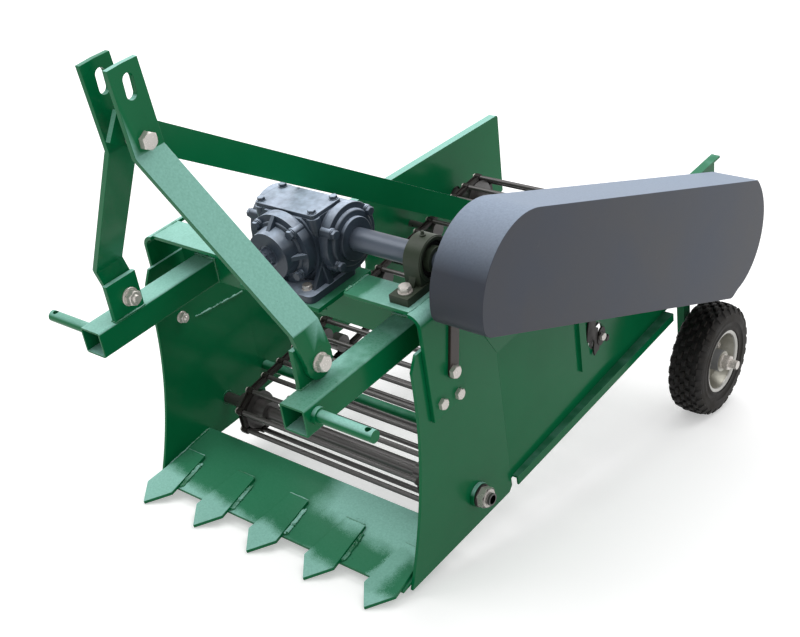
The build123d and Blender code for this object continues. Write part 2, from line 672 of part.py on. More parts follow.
def output_caps():
    """Bearing caps on both sides, the guard side's with a seal ring around the shaft's tube."""
    right_x = GEARBOX_X + GEARBOX_HALF_X + PAD_T
    left_x = GEARBOX_X - GEARBOX_HALF_X - PAD_T
    seal_x = right_x + OUTPUT_CAP_T
    right = bar_x(right_x, seal_x, SHAFT_ALONG, SHAFT_Z, OUTPUT_CAP_R)
    right += bar_x(seal_x, seal_x + SEAL_T, SHAFT_ALONG, SHAFT_Z, SEAL_R)
    right -= bar_x(right_x - PAST, seal_x + SEAL_T + PAST, SHAFT_ALONG, SHAFT_Z, TUBE_D / 2)
    left = bar_x(left_x - OUTPUT_CAP_T, left_x, SHAFT_ALONG, SHAFT_Z, OUTPUT_CAP_R)
    return Compound(children=[above_foot(right), above_foot(left)])


def cross_shaft():
    start = GEARBOX_X + GEARBOX_HALF_X + PAD_T
    step = BEARING_X - BEARING_INSERT_HALF - PAST
    tube = bar_x(start, step, SHAFT_ALONG, SHAFT_Z, TUBE_D / 2)
    return tube + bar_x(step, GUARD_INNER_X + GUARD_STAND_OFF, SHAFT_ALONG, SHAFT_Z, SHAFT_D / 2)


def pillow_block():
    x0, x1 = BEARING_X - BEARING_HALF_W, BEARING_X + BEARING_HALF_W
    y0, y1 = SHAFT_ALONG - BEARING_HALF_L, SHAFT_ALONG + BEARING_HALF_L
    r0, r1 = BEARING_X - BEARING_RING_HALF_W, BEARING_X + BEARING_RING_HALF_W
    housing = block(x0, x1, y0, y1, BEAM_TOP_Z, BEAM_TOP_Z + BEARING_FOOT_T)
    housing += bar_x(r0, r1, SHAFT_ALONG, SHAFT_Z, BEARING_R)
    housing += block(r0, r1, SHAFT_ALONG - BEARING_R, SHAFT_ALONG + BEARING_R, BEAM_TOP_Z, SHAFT_Z)
    housing -= block(-ROOM, ROOM, 0, ROOM, 0, BEAM_TOP_Z)
    for edge in (r0 - PAST, r1 - BEARING_RECESS):
        housing -= bar_x(edge, edge + BEARING_RECESS + PAST, SHAFT_ALONG, SHAFT_Z, BEARING_RECESS_R)
    insert = BEARING_INSERT_HALF
    housing += bar_x(BEARING_X - insert, BEARING_X + insert, SHAFT_ALONG, SHAFT_Z, BEARING_INSERT_R)
    return housing - bar_x(x0 - insert, x1 + insert, SHAFT_ALONG, SHAFT_Z, SHAFT_D / 2)


# ---- chain guard -------------------------------------------------------------------------------
def guard_outline():
    fall = radians(GUARD_FALL)
    top_y, top_z = GUARD_TOP_AT
    brow = (GUARD_FRONT, top_z + (top_y - GUARD_FRONT) * tan(fall))
    foot_y, foot_z = GUARD_FOOT
    heel_y, heel_z = GUARD_HEEL
    slope = (heel_z - foot_z) / (heel_y - foot_y)
    chin = (GUARD_FRONT, foot_z - (foot_y - GUARD_FRONT) * slope)
    tail = ThreePointArc(*GUARD_TAIL)
    face = make_face(Polyline(GUARD_TAIL[2], brow, chin, GUARD_HEEL, GUARD_TAIL[0]) + tail)
    for corner, radius in ((brow, GUARD_NOSE_R), (chin, GUARD_CHIN_R), (GUARD_HEEL, GUARD_HEEL_R)):
        face = fillet(face.vertices().sort_by_distance((*corner, 0))[0], radius)
    return face


def chain_guard():
    face = guard_outline()
    shell = slab(face, GUARD_INNER_X, GUARD_OUTER_X)
    return shell - slab(offset(face, -GUARD_T), GUARD_INNER_X, GUARD_OUTER_X - GUARD_T)


def guard_back():
    plate = slab(offset(guard_outline(), -GUARD_T), GUARD_INNER_X, GUARD_INNER_X + GUARD_BACK_T)
    for centre in ((SHAFT_ALONG, SHAFT_Z), DRIVER):
        plate -= bar_x(GUARD_INNER_X - PAST, GUARD_INNER_X + GUARD_BACK_T + PAST, *centre,
                       SHAFT_D / 2 + GUARD_SHAFT_GAP)
    return plate


def guard_stands():
    """Short posts that carry the guard, from the end bracket and the panel, and the gusset behind it."""
    posts = [bar_x(BRACKET_OUTER_X, GUARD_INNER_X, *BRACKET_STAND, GUARD_STAND_D / 2)]
    for at in PANEL_STANDS:
        start = panel_x(at[0]) - PANEL_T
        posts.append(outside_panel(bar_x(start, GUARD_INNER_X, *at, GUARD_STAND_D / 2)))
    share = (GUSSET_REAR - CHEEK_REAR) / (PANEL_REAR_TOP - CHEEK_REAR)
    gusset = outline([
        (CHEEK_TOP_END + GUSSET_SEAM, CHEEK_TOP_Z),
        (CHEEK_REAR + GUSSET_SEAM, PANEL_TOP_FRONT_Z),
        (GUSSET_REAR, PANEL_TOP_FRONT_Z + share * (PANEL_TOP_REAR_Z - PANEL_TOP_FRONT_Z)),
    ])
    return Compound(children=posts + [toed_in(slab(gusset, HALF_WIDTH - PANEL_T, HALF_WIDTH))])


def support_bar():
    x0 = BRACKET_OUTER_X
    strap = slab(strip([STRAP_FOOT, STRAP_HEAD], STRAP_W), x0, x0 + STRAP_T)
    return strap + bar_x(x0, x0 + STRAP_T, *STRAP_FOOT, STRAP_W / 2)


# ---- rod web -----------------------------------------------------------------------------------
SPAN = hypot(DRIVER[0] - IDLER[0], DRIVER[1] - IDLER[1])
TILT = atan2(DRIVER[1] - IDLER[1], DRIVER[0] - IDLER[0])
SPREAD = atan2(DRIVER_R - IDLER_R, sqrt(SPAN ** 2 - (DRIVER_R - IDLER_R) ** 2))
WEB_RUN = SPAN * cos(SPREAD)
FRONT_WRAP = IDLER_R * (pi - 2 * SPREAD)
REAR_WRAP = DRIVER_R * (pi + 2 * SPREAD)
WEB_LENGTH = 2 * WEB_RUN + FRONT_WRAP + REAR_WRAP


def web_point(s, out=0.0):
    """Point on the web at a distance s along it from the idler's top, moved outwards by `out`."""
    s = s % WEB_LENGTH
    if s < WEB_RUN:
        centre, angle = IDLER, TILT + pi / 2 + SPREAD
        ahead, radius = s, IDLER_R
    elif s < WEB_RUN + REAR_WRAP:
        centre, angle = DRIVER, TILT + pi / 2 + SPREAD - (s - WEB_RUN) / DRIVER_R
        ahead, radius = 0.0, DRIVER_R
    elif s < 2 * WEB_RUN + REAR_WRAP:
        centre, angle = DRIVER, TILT - pi / 2 - SPREAD
        ahead, radius = s - WEB_RUN - REAR_WRAP, DRIVER_R
    else:
        centre = IDLER
        angle = TILT - pi / 2 - SPREAD - (s - 2 * WEB_RUN - REAR_WRAP) / IDLER_R
        ahead, radius = 0.0, IDLER_R
    radius += out
    return (
        centre[0] + radius * cos(angle) + ahead * sin(angle),
        centre[1] + radius * sin(angle) - ahead * cos(angle),
    )


def web_chain():
    """One closed loop of hook links, each with its hook around a rod and a lower waist between."""
    step = WEB_LENGTH / ROD_COUNT
    outer, inner = [], []
    for k in range(ROD_COUNT):
        for shift, height in ((-HOOK_HALF, LINK_H), (HOOK_RISE - HOOK_HALF, HOOK_H),
                              (HOOK_HALF - HOOK_RISE, HOOK_H), (HOOK_HALF, LINK_H)):
            s = k * step + shift
            outer.append(web_point(s, height / 2))
            inner.append(web_point(s, -height / 2))
    return slab(outline(outer) - outline(inner), WEB_HALF - CHAIN_T / 2, WEB_HALF + CHAIN_T / 2)


def web_rods():
    """Rods from chain to chain, with a short end beyond each chain."""
    step = WEB_LENGTH / ROD_COUNT
    inner = WEB_HALF - CHAIN_T / 2
    outer = WEB_HALF + CHAIN_T / 2
    rods = []
    for k in range(ROD_COUNT):
        at = web_point(k * step)
        end = bar_x(outer, outer + ROD_TAIL, *at, ROD_D / 2)
        rods += [bar_x(-inner, inner, *at, ROD_D / 2), end, mirrored(end)]
    return Compound(children=rods)


def front_idlers():
    """Axle between the cheek plates with its two idler wheels and its end nuts."""
    end = HALF_WIDTH + IDLER_OVERHANG
    axle = bar_x(-end, end, *IDLER, IDLER_AXLE_D / 2)
    axle += bar_x(-WEB_HALF, WEB_HALF, *IDLER, IDLER_TUBE_D / 2)
    for side in (1, -1):
        x0 = side * (WEB_HALF - CHAIN_T / 2)
        axle += bar_x(x0, x0 + side * CHAIN_T, *IDLER, IDLER_R - HOOK_H / 2 - CHAIN_GAP)
        hub0, hub1 = side * (WEB_HALF - IDLER_HUB_HALF), side * (WEB_HALF + IDLER_HUB_HALF)
        axle += bar_x(hub0, hub1, *IDLER, IDLER_HUB_R)
        nut = HALF_WIDTH + BOSS_OUT
        axle += hexagon_x(side * nut, side * (nut + IDLER_NUT_H), *IDLER, IDLER_NUT_ACROSS)
    return axle


def axle_bosses():
    bore = IDLER_AXLE_D / 2
    boss = ring_x(HALF_WIDTH - CHEEK_T, HALF_WIDTH + BOSS_OUT, *IDLER, bore + BOSS_WALL, bore)
    boss += ring_x(HALF_WIDTH, HALF_WIDTH + BOSS_OUT, *IDLER, bore + BOSS_FLANGE, bore)
    return both_sides(boss)


def drive_shaft():
    over = WEB_HALF + DRIVER_TUBE_OVER
    shaft = bar_x(-over, over, *DRIVER, DRIVER_TUBE_D / 2)
    left_end = panel_x(DRIVER[0]) + DRIVER_LEFT_OVER
    shaft += bar_x(-left_end, GUARD_INNER_X + DRIVER_IN_GUARD, *DRIVER, SHAFT_D / 2)
    for side in (1, -1):
        x0 = side * (WEB_HALF - CHAIN_T / 2)
        shaft += bar_x(x0, x0 + side * CHAIN_T, *DRIVER, DRIVER_R - HOOK_H / 2 - CHAIN_GAP)
    return shaft


def shaft_bearings():
    start = panel_x(DRIVER[0]) - PANEL_T
    end = panel_x(DRIVER[0]) + DRIVER_BEARING_T
    return both_sides(outside_panel(ring_x(start, end, *DRIVER, DRIVER_BEARING_R, SHAFT_D / 2)))


def web_rollers():
    """Carrier rollers inside the web on pins from the panels, the middle pair on hanger straps."""
    out = []
    for along, side in WEB_ROLLERS:
        share = (along - IDLER[0]) / (DRIVER[0] - IDLER[0])
        radius = IDLER_R + (DRIVER_R - IDLER_R) * share - HOOK_H / 2 - ROLLER_R
        up = IDLER[1] + (DRIVER[1] - IDLER[1]) * share + side * radius * cos(TILT)
        y = along - side * radius * sin(TILT)
        roller = bar_x(WEB_HALF - ROLLER_HALF_W, WEB_HALF + ROLLER_HALF_W, y, up, ROLLER_R)
        roller += bar_x(WEB_HALF, HALF_WIDTH, y, up, ROLLER_PIN_R)
        if along == PORT_AT[0]:
            x1 = HALF_WIDTH - PANEL_T
            strap = block(x1 - HANGER_T, x1, y - HANGER_W / 2, y + HANGER_W / 2, up - HANGER_REACH,
                          up + HANGER_REACH)
            roller = roller - toed_in(block(x1 - HANGER_T, ROOM, 0, 2 * ROOM, -ROOM, ROOM)) + toed_in(strap)
        out.append(inside_panels(roller))
    return Compound(children=[shape for roller in out for shape in (roller, mirrored(roller))])


# ---- wheels ------------------------------------------------------------------------------------
LEG_OUTER_X = WHEEL_X - TYRE_HALF_W - LEG_TYRE_GAP
LEG_INNER_X = LEG_OUTER_X - LEG_T
LEG_TOP_Z = DRIVER[1] - DRIVER_BEARING_R - LEG_BEARING_GAP


def wheel_leg():
    """Upright bar outside the panel, on a pad that fills the gap to the leaning panel."""
    y, z = WHEEL_AT
    leg = block(LEG_INNER_X, LEG_OUTER_X, y - LEG_W / 2, y + LEG_W / 2, z - LEG_FOOT, LEG_TOP_Z)
    pad = block(panel_x(y) - PANEL_T, LEG_INNER_X, y - LEG_W / 2, y + LEG_W / 2, LEG_PAD_FOOT_Z, LEG_TOP_Z)
    return leg + outside_panel(pad) - bar_x(0, ROOM, y, z, AXLE_D / 2)


def wheel_axle():
    y, z = WHEEL_AT
    hub0 = WHEEL_X - HUB_HALF_W
    hub1 = WHEEL_X + HUB_HALF_W
    washer = hub1 + GAP
    nut = washer + AXLE_WASHER_T
    axle = bar_x(LEG_INNER_X - AXLE_SHOULDER, nut + AXLE_NUT_H + AXLE_TAIL, y, z, AXLE_D / 2)
    axle += bar_x(LEG_OUTER_X, hub0 - GAP, y, z, AXLE_D / 2 + AXLE_SHOULDER)
    axle += bar_x(washer, nut, y, z, AXLE_WASHER_R)
    return axle + hexagon_x(nut, nut + AXLE_NUT_H, y, z, AXLE_NUT_ACROSS)


def faceted(near, far):
    """A slice of the tyre's round outside between two (across, radius) rings, in flat facets."""
    ends = [Plane.XY.offset(across) * RegularPolygon(radius, TYRE_SIDES) for across, radius in (near, far)]
    if near[1] == far[1]:
        return extrude(ends[0], amount=far[0] - near[0])
    return loft(ends, ruled=True)


def tyre():
    """Tyre as a ring of flat facets, with a round bore that sits on the rim."""
    y, z = WHEEL_AT
    crown = [(across, TYRE_R - drop) for across, drop in TYRE_CROWN]
    widest = crown[-1]
    rings = [(-across, radius) for across, radius in crown[::-1]] + crown
    body = Cylinder(RIM_R + BEAD_STEP, 2 * TYRE_HALF_W)
    for near, far in zip(rings, rings[1:]):
        body += faceted(near, far)
    for side in (1, -1):
        body -= faceted((side * RIM_HALF_W, RIM_R + BEAD_STEP), (side * widest[0], widest[1]))
    body -= Cylinder(RIM_R, 2 * TYRE_HALF_W)
    return Pos(WHEEL_X, y, z) * Rot(0, 90, 0) * body


def rim():
    """Pressed rim turned about the wheel's own axle, drawn as (radius, across)."""
    y, z = WHEEL_AT
    r0, s, h = RIM_R, RIM_HALF_W, HUB_HALF_W
    bore = AXLE_D / 2 + FIT
    lip, well = r0 + RIM_LIP, r0 - RIM_LIP_T
    disc = RIM_DISC_T / 2
    section = outline([
        (bore, -h), (HUB_R, -h), (HUB_R, -disc), (r0 - RIM_DISC, -disc), (well, -s),
        (lip - RIM_LIP_T, -s - RIM_LIP), (lip, -s - RIM_LIP), (r0, -s), (r0, s), (lip, s + RIM_LIP),
        (lip - RIM_LIP_T, s + RIM_LIP), (well, s), (r0 - RIM_DISC, disc), (HUB_R, disc), (HUB_R, h),
        (bore, h),
    ])
    return Pos(WHEEL_X, y, z) * Rot(0, 90, 0) * revolve(Plane.XZ * section, axis=Axis.Z)


# ---- all of it ---------------------------------------------------------------------------------
def build():
    keep_pair("cheek_plate", cheek_plate())
    keep_pair("rear_panel", rear_panel())
    keep("blade_plate", blade_plate())
    keep("digging_teeth", digging_teeth())
    keep("cross_beam", cross_beam())
    keep_pair("end_bracket", end_bracket())
    keep("gearbox_plate", gearbox_plate())
    keep_pair("hitch_arm", hitch_arm())
    keep("hitch_pins", both_sides(hitch_pin()))
    keep("arm_lugs", both_sides(arm_lug()))
    keep_pair("mast_bar", mast_bar())
    keep("mast_bolts", mast_bolts())
    keep("stay_bar", stay_bar())
    keep("cross_tubes", cross_tubes())
    keep("gearbox_housing", gearbox_housing())
    keep("gearbox_cover", gearbox_cover())
    keep("input_cap", input_cap())
    keep("input_shaft", input_shaft())
    keep("output_caps", output_caps())
    keep("cross_shaft", cross_shaft())
    keep("pillow_block", pillow_block())
    keep("chain_guard", chain_guard())
    keep("guard_back", guard_back())
    keep("guard_stands", guard_stands())
    keep("support_bar", support_bar())
    keep_pair("web_chain", web_chain())
    keep("web_rods", web_rods())
    keep("front_idlers", front_idlers())
    keep("axle_bosses", axle_bosses())
    keep("drive_shaft", drive_shaft())
    keep("shaft_bearings", shaft_bearings())
    keep("web_rollers", web_rollers())
    keep_pair("wheel_leg", wheel_leg())
    keep("wheel_axles", both_sides(wheel_axle()))
    keep_pair("tyre", tyre())
    keep_pair("rim", rim())


build()
os.makedirs("parts", exist_ok=True)
parked = Pos(0, FRAME_SHIFT_Y, 0) * Rot(PARK_PITCH, 0, 0)
for name, shape in pieces.items():
    export_step(parked * shape, "parts/" + name + ".step")
    print(name)
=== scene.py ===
import json
from math import atan2, cos, hypot, pi, radians, sin, sqrt

import bmesh
import bpy
from mathutils import Matrix, Vector, noise


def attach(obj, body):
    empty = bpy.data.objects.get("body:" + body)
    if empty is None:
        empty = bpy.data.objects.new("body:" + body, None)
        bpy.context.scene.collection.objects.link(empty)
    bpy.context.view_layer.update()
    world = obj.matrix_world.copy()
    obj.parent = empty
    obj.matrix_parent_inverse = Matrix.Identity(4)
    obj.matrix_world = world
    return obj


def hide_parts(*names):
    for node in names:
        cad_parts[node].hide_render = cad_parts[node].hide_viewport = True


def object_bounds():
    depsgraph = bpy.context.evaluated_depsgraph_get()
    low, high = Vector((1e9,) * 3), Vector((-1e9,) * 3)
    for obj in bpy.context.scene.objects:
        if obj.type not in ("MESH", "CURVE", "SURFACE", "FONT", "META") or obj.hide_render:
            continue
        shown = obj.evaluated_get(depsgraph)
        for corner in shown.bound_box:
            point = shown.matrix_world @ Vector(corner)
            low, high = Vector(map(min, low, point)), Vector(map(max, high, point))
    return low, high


# The looks of a small potato harvester: its paint, castings, welds, bolts, tyres and the links of its web,
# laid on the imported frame. Pieces are drawn in millimetres in the machine's own level, as a maker's drawing
# is: X to the chain-guard side, `along` back from the teeth's points and `up` from their height.

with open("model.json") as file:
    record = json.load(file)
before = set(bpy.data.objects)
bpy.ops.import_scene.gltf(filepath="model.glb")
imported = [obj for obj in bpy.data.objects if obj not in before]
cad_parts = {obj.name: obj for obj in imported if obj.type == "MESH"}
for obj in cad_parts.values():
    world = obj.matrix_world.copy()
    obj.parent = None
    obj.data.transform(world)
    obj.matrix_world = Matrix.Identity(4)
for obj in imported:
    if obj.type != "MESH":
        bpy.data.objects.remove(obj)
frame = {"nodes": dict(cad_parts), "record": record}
cad_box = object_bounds()
RIGHT, LEFT = 1, -1
BOTH = (RIGHT, LEFT)

# ---- the machine's level ----
# The drive shaft's mount says how the machine is tipped, and where that shaft's end lies.
SHAFT_END = Vector((28.0, 172.0, 551.0))
drive_end = next(m for m in frame["record"]["mounts"] if m["name"] == "pto_input_shaft")
pitch = atan2(-drive_end["axis"][2], -drive_end["axis"][1])
tipped = Matrix.Rotation(pitch, 4, "X") @ Matrix.Scale(0.001, 4)
LEVEL = Matrix.Translation(Vector(drive_end["pos_m"]) - tipped @ SHAFT_END) @ tipped


def node_box(name):
    """Lowest and highest corner of a frame node in the machine's own level, in millimetres."""
    back = LEVEL.inverted()
    points = [back @ v.co for v in frame["nodes"][name].data.vertices]
    return (Vector([min(p[i] for p in points) for i in range(3)]),
            Vector([max(p[i] for p in points) for i in range(3)]))


def lowest(name):
    return node_box(name)[0]


def highest(name):
    return node_box(name)[1]


def middle(name):
    low, high = node_box(name)
    return (low + high) / 2


# ---- sizes ----
CHEEK_X = highest("cheek_plate_right").x  # outer face of a cheek plate
CHEEK_T = 6.0
BRACKET_X = highest("end_bracket_right").x
BEAM_LOW, BEAM_HIGH = node_box("cross_beam")
BEAM_T = 8.0
BEAM_REAR = BEAM_LOW.y + 67.0  # rear face of the beam's web
NOTCH_RIGHT = 170.0  # right end of the beam's notch
ARM_LOW, ARM_HIGH = node_box("hitch_arm_right")
ARM_X = (ARM_LOW.x + ARM_HIGH.x) / 2
ARM_Z = (ARM_LOW.z + ARM_HIGH.z) / 2
ARM_HALF = (ARM_HIGH.x - ARM_LOW.x) / 2
LUG_T = 10.0
PIN = (-1.0, 420.0)  # along, up of a hitch pin
BLADE_RISE = radians(5.9)
BLADE_FRONT = 66.0
TOOTH_T = 8.0
TOOTH_HALF_W = 36.0
TOOTH_REAR = 156.0
TOOTH_CUT = 12.0  # how much narrower each side is at the back
TOOTH_COUNT = 5


def blade_point(x, ahead, lift):
    """A point on the blade's slope: `ahead` back from the teeth's points and `lift` above its face."""
    turned = Matrix.Rotation(BLADE_RISE, 3, "X") @ Vector((0, ahead, lift))
    return Vector((x, turned.y, turned.z))


# ---- node helpers ----
def effect(name, inputs, work_out):
    """A shader node group with these inputs, whose colour, roughness and height `work_out` gives."""
    group = bpy.data.node_groups.new(name, "ShaderNodeTree")
    for label, value in inputs.items():
        kind = "Color" if isinstance(value, tuple) else "Float"
        made = group.interface.new_socket(label, in_out="INPUT", socket_type="NodeSocket" + kind)
        made.default_value = value
    for label, kind in (("Color", "Color"), ("Roughness", "Float"), ("Height", "Float")):
        group.interface.new_socket(label, in_out="OUTPUT", socket_type="NodeSocket" + kind)
    start = group.nodes.new("NodeGroupInput")
    end = group.nodes.new("NodeGroupOutput")
    for spot, value in enumerate(work_out(group, start.outputs)):
        put(end.inputs[spot], value)
    return group


def put(socket, value):
    """Gives a socket a value, or a link where the value is another node's output."""
    if isinstance(value, bpy.types.NodeSocket):
        socket.id_data.links.new(value, socket)
    else:
        socket.default_value = value


def node(tree, kind, values=None, **settings):
    """Adds a node: `settings` are its own options and `values` maps its inputs to values or links."""
    made = tree.nodes.new("ShaderNode" + kind)
    for label, value in settings.items():
        setattr(made, label, value)
    for label, value in (values or {}).items():
        put(made.inputs[label], value)
    return made


def noise_of(where, scale, detail, rough=0.55):
    """Cloudy noise from 0 to 1 at a scale of features per metre."""
    made = node(where.id_data, "TexNoise", {"Vector": where, "Scale": scale, "Detail": detail,
                                            "Roughness": rough})
    return made.outputs["Fac"]


def between(value, low, high, out_low=0.0, out_high=1.0):
    """Maps a value's stretch from low to high onto another stretch, clamped."""
    made = node(value.id_data, "MapRange", {"Value": value, "From Min": low, "From Max": high,
                                            "To Min": out_low, "To Max": out_high})
    return made.outputs["Result"]


def maths(operation, a, b=0.0):
    tree = (a if isinstance(a, bpy.types.NodeSocket) else b).id_data
    return node(tree, "Math", {0: a, 1: b}, operation=operation).outputs[0]


def times(a, b):
    return maths("MULTIPLY", a, b)


def plus(a, b):
    return maths("ADD", a, b)


def minus(a, b):
    return maths("SUBTRACT", a, b)


def larger(a, b):
    return maths("MAXIMUM", a, b)


MIX_SHARE, MIX_A, MIX_B, MIX_RESULT = 0, 6, 7, 2  # places of a colour mix's sockets


def mixed(share, a, b):
    """Mixes two colours by a share."""
    values = {MIX_SHARE: share, MIX_A: a, MIX_B: b}
    return node(share.id_data, "Mix", values, data_type="RGBA").outputs[MIX_RESULT]


def own_place(tree):
    return node(tree, "TexCoord").outputs["Object"]


def part_of(vector, axis):
    return node(vector.id_data, "SeparateXYZ", {"Vector": vector}).outputs[axis]


def facing(tree, axis):
    """How far a face looks along an axis, from -1 to 1."""
    return part_of(node(tree, "NewGeometry").outputs["Normal"], axis)


def blank_material(name):
    material = bpy.data.materials.new(name)
    material.use_nodes = True
    material.node_tree.nodes.clear()
    return material, material.node_tree


def close_tree(tree, shader, kind="OutputMaterial"):
    node(tree, kind, {"Surface": shader.outputs[0]})


# ---- shared effects ----
def enamel(tree, given):
    """Sprayed enamel: clouded colour, chips, scratches, a painted highlight on faces that look up, orange
    peel.
    """
    where = own_place(tree)
    cloud = noise_of(where, 4.0, 4.0)
    fine = noise_of(where, 260.0, 2.0)
    speck = noise_of(where, 210.0, 2.0, 0.7)
    thin = between(noise_of(where, 9.0, 3.0), 0.42, 0.58, 1.0, 0.0)
    paint = mixed(between(cloud, 0.3, 0.7), given["Paint"], given["Shade"])

    # Painted highlight: a pale colour laid on faces that look up, standing in for the white surroundings
    # shining on glossy paint; thin lines break it into patches.
    rise = between(facing(tree, "Z"), given["Painted highlight from"], given["Painted highlight full"])
    pale_top_share = times(rise, given["Painted highlight amount"])
    pale_top_share = times(pale_top_share, between(fine, 0.3, 0.7, 0.86, 1.06))
    pale_top_share = times(pale_top_share, minus(1.0, times(thin, given["Painted highlight patches"])))
    pale = mixed(pale_top_share, paint, given["Painted highlight"])

    chips = times(between(speck, 0.74, 0.78), given["Chip amount"])
    wander = minus(noise_of(where, 17.0, 1.0), 0.5)
    line = between(maths("ABSOLUTE", wander), 0.0, 0.0045, 1.0, 0.0)
    scuffed = between(noise_of(where, 8.0, 2.0), 0.64, 0.67)
    broken = between(noise_of(where, 150.0, 1.0), 0.42, 0.5)
    line = times(times(line, scuffed), broken)
    bare = larger(chips, times(line, given["Scratch amount"]))

    rough = plus(given["Gloss"], times(pale_top_share, 0.15))
    peel = times(noise_of(where, 420.0, 1.0), 0.3)
    waves = times(noise_of(where, 12.0, 2.0), 0.7)
    return (mixed(bare, pale, given["Chip"]), plus(rough, times(fine, 0.06)),
            minus(plus(peel, waves), times(bare, 0.6)))


def casting(tree, given):
    """Painted sand casting: coarse grain, shallow pits, patches of grease, and dust with a painted highlight
    on faces that look up.
    """
    where = own_place(tree)
    grain = noise_of(where, 330.0, 3.0, 0.6)
    lumps = noise_of(where, 55.0, 3.0)
    patch = noise_of(where, 16.0, 4.0)
    greasy = mixed(between(patch, 0.5, 0.72, 0.0, 0.75), given["Paint"], given["Grease"])
    # Faces that look up turn pale: partly dust, partly a painted highlight.
    pale_top_share = times(between(facing(tree, "Z"), 0.4, 1.0), given["Dust and highlight amount"])
    pale_top_share = times(pale_top_share, between(lumps, 0.3, 0.7, 0.55, 1.0))
    return (mixed(pale_top_share, greasy, given["Dust and highlight"]), plus(given["Gloss"], times(grain, 0.16)),
            plus(times(grain, 0.5), times(lumps, 0.9)))


def steel(tree, given):
    """Bare or plated steel: fine grain, stains and a little wear."""
    where = own_place(tree)
    grain = noise_of(where, given["Grain"], 3.0, 0.6)
    patch = noise_of(where, 22.0, 4.0, 0.65)
    stain = times(between(patch, 0.48, 0.7), given["Stain amount"])
    stain = plus(stain, times(between(grain, 0.62, 0.75), 0.12))
    rough = plus(given["Gloss"], times(stain, 0.35))
    return mixed(stain, given["Steel"], given["Stain"]), plus(rough, times(grain, 0.1)), grain


# The enamel's painted highlight inputs lay a pale colour on faces that look up, a painted highlight.
ENAMEL = effect("sprayed_enamel", {
    "Paint": (0.02, 0.15, 0.07, 1), "Shade": (0.01, 0.1, 0.04, 1), "Painted highlight": (0.3, 0.36, 0.3, 1),
    "Painted highlight amount": 0.2, "Painted highlight from": 0.12, "Painted highlight full": 0.7, "Painted highlight patches": 0.0,
    "Chip": (0.03, 0.025, 0.02, 1), "Chip amount": 0.3, "Scratch amount": 0.6, "Gloss": 0.3}, enamel)
CASTING = effect("sand_casting", {
    "Paint": (0.08, 0.09, 0.11, 1), "Grease": (0.02, 0.02, 0.024, 1), "Dust and highlight": (0.35, 0.37, 0.4, 1),
    "Dust and highlight amount": 0.35, "Gloss": 0.42}, casting)
STEEL = effect("worked_steel", {
    "Steel": (0.5, 0.5, 0.5, 1), "Stain": (0.1, 0.07, 0.05, 1), "Stain amount": 0.3, "Gloss": 0.3,
    "Grain": 300.0}, steel)


# ---- materials ----
def finish_of(name, group, values, bump, depth_mm, metallic, sheen):
    """A material from one of the shared effects, with its own values and a bump of some depth."""
    material, tree = blank_material(name)
    given = node(tree, "Group", node_tree=group, name="effect")
    for label, value in values.items():
        put(given.inputs[label], value)
    colour, rough, height = given.outputs
    relief = node(tree, "Bump", {"Strength": bump, "Distance": depth_mm / 1000, "Height": height})
    shader = node(tree, "BsdfPrincipled", {
        "Base Color": colour, "Roughness": rough, "Normal": relief.outputs["Normal"], "Metallic": metallic,
        "Specular IOR Level": sheen})
    close_tree(tree, shader)
    return material


TREAD_BLACK = (0.0075, 0.0068, 0.0066, 1)
DRIED_SOIL = (0.021, 0.0172, 0.0135, 1)


def rubber():
    """Tyre rubber: dark tread, brownish sidewall from dried soil, and fine moulding grain."""
    material, tree = blank_material("tyre_rubber")
    where = own_place(tree)
    soil = noise_of(where, 24.0, 5.0, 0.6)
    grain = noise_of(where, 420.0, 2.0)
    flank = between(maths("ABSOLUTE", facing(tree, "X")), 0.55, 0.95, 0.06, 0.8)
    share = times(flank, between(soil, 0.35, 0.65, 0.2, 1.0))
    relief = node(tree, "Bump", {"Strength": 0.5, "Distance": 0.0005, "Height": grain})
    shader = node(tree, "BsdfPrincipled", {
        "Base Color": mixed(share, TREAD_BLACK, DRIED_SOIL), "Specular IOR Level": 0.3,
        "Roughness": between(soil, 0.3, 0.7, 0.58, 0.8), "Normal": relief.outputs["Normal"]})
    close_tree(tree, shader)
    return material


# Green enamel; its painted highlight colour is a pale mint painted on faces that look up.
GREEN = {"Paint": (0.003, 0.164, 0.058, 1), "Shade": (0.002, 0.134, 0.046, 1),
         "Painted highlight": (0.35, 0.68, 0.6, 1), "Painted highlight amount": 0.85, "Painted highlight from": 0.24, "Painted highlight full": 0.62,
         "Chip": (0.01, 0.03, 0.016, 1), "Chip amount": 0.35, "Gloss": 0.2}
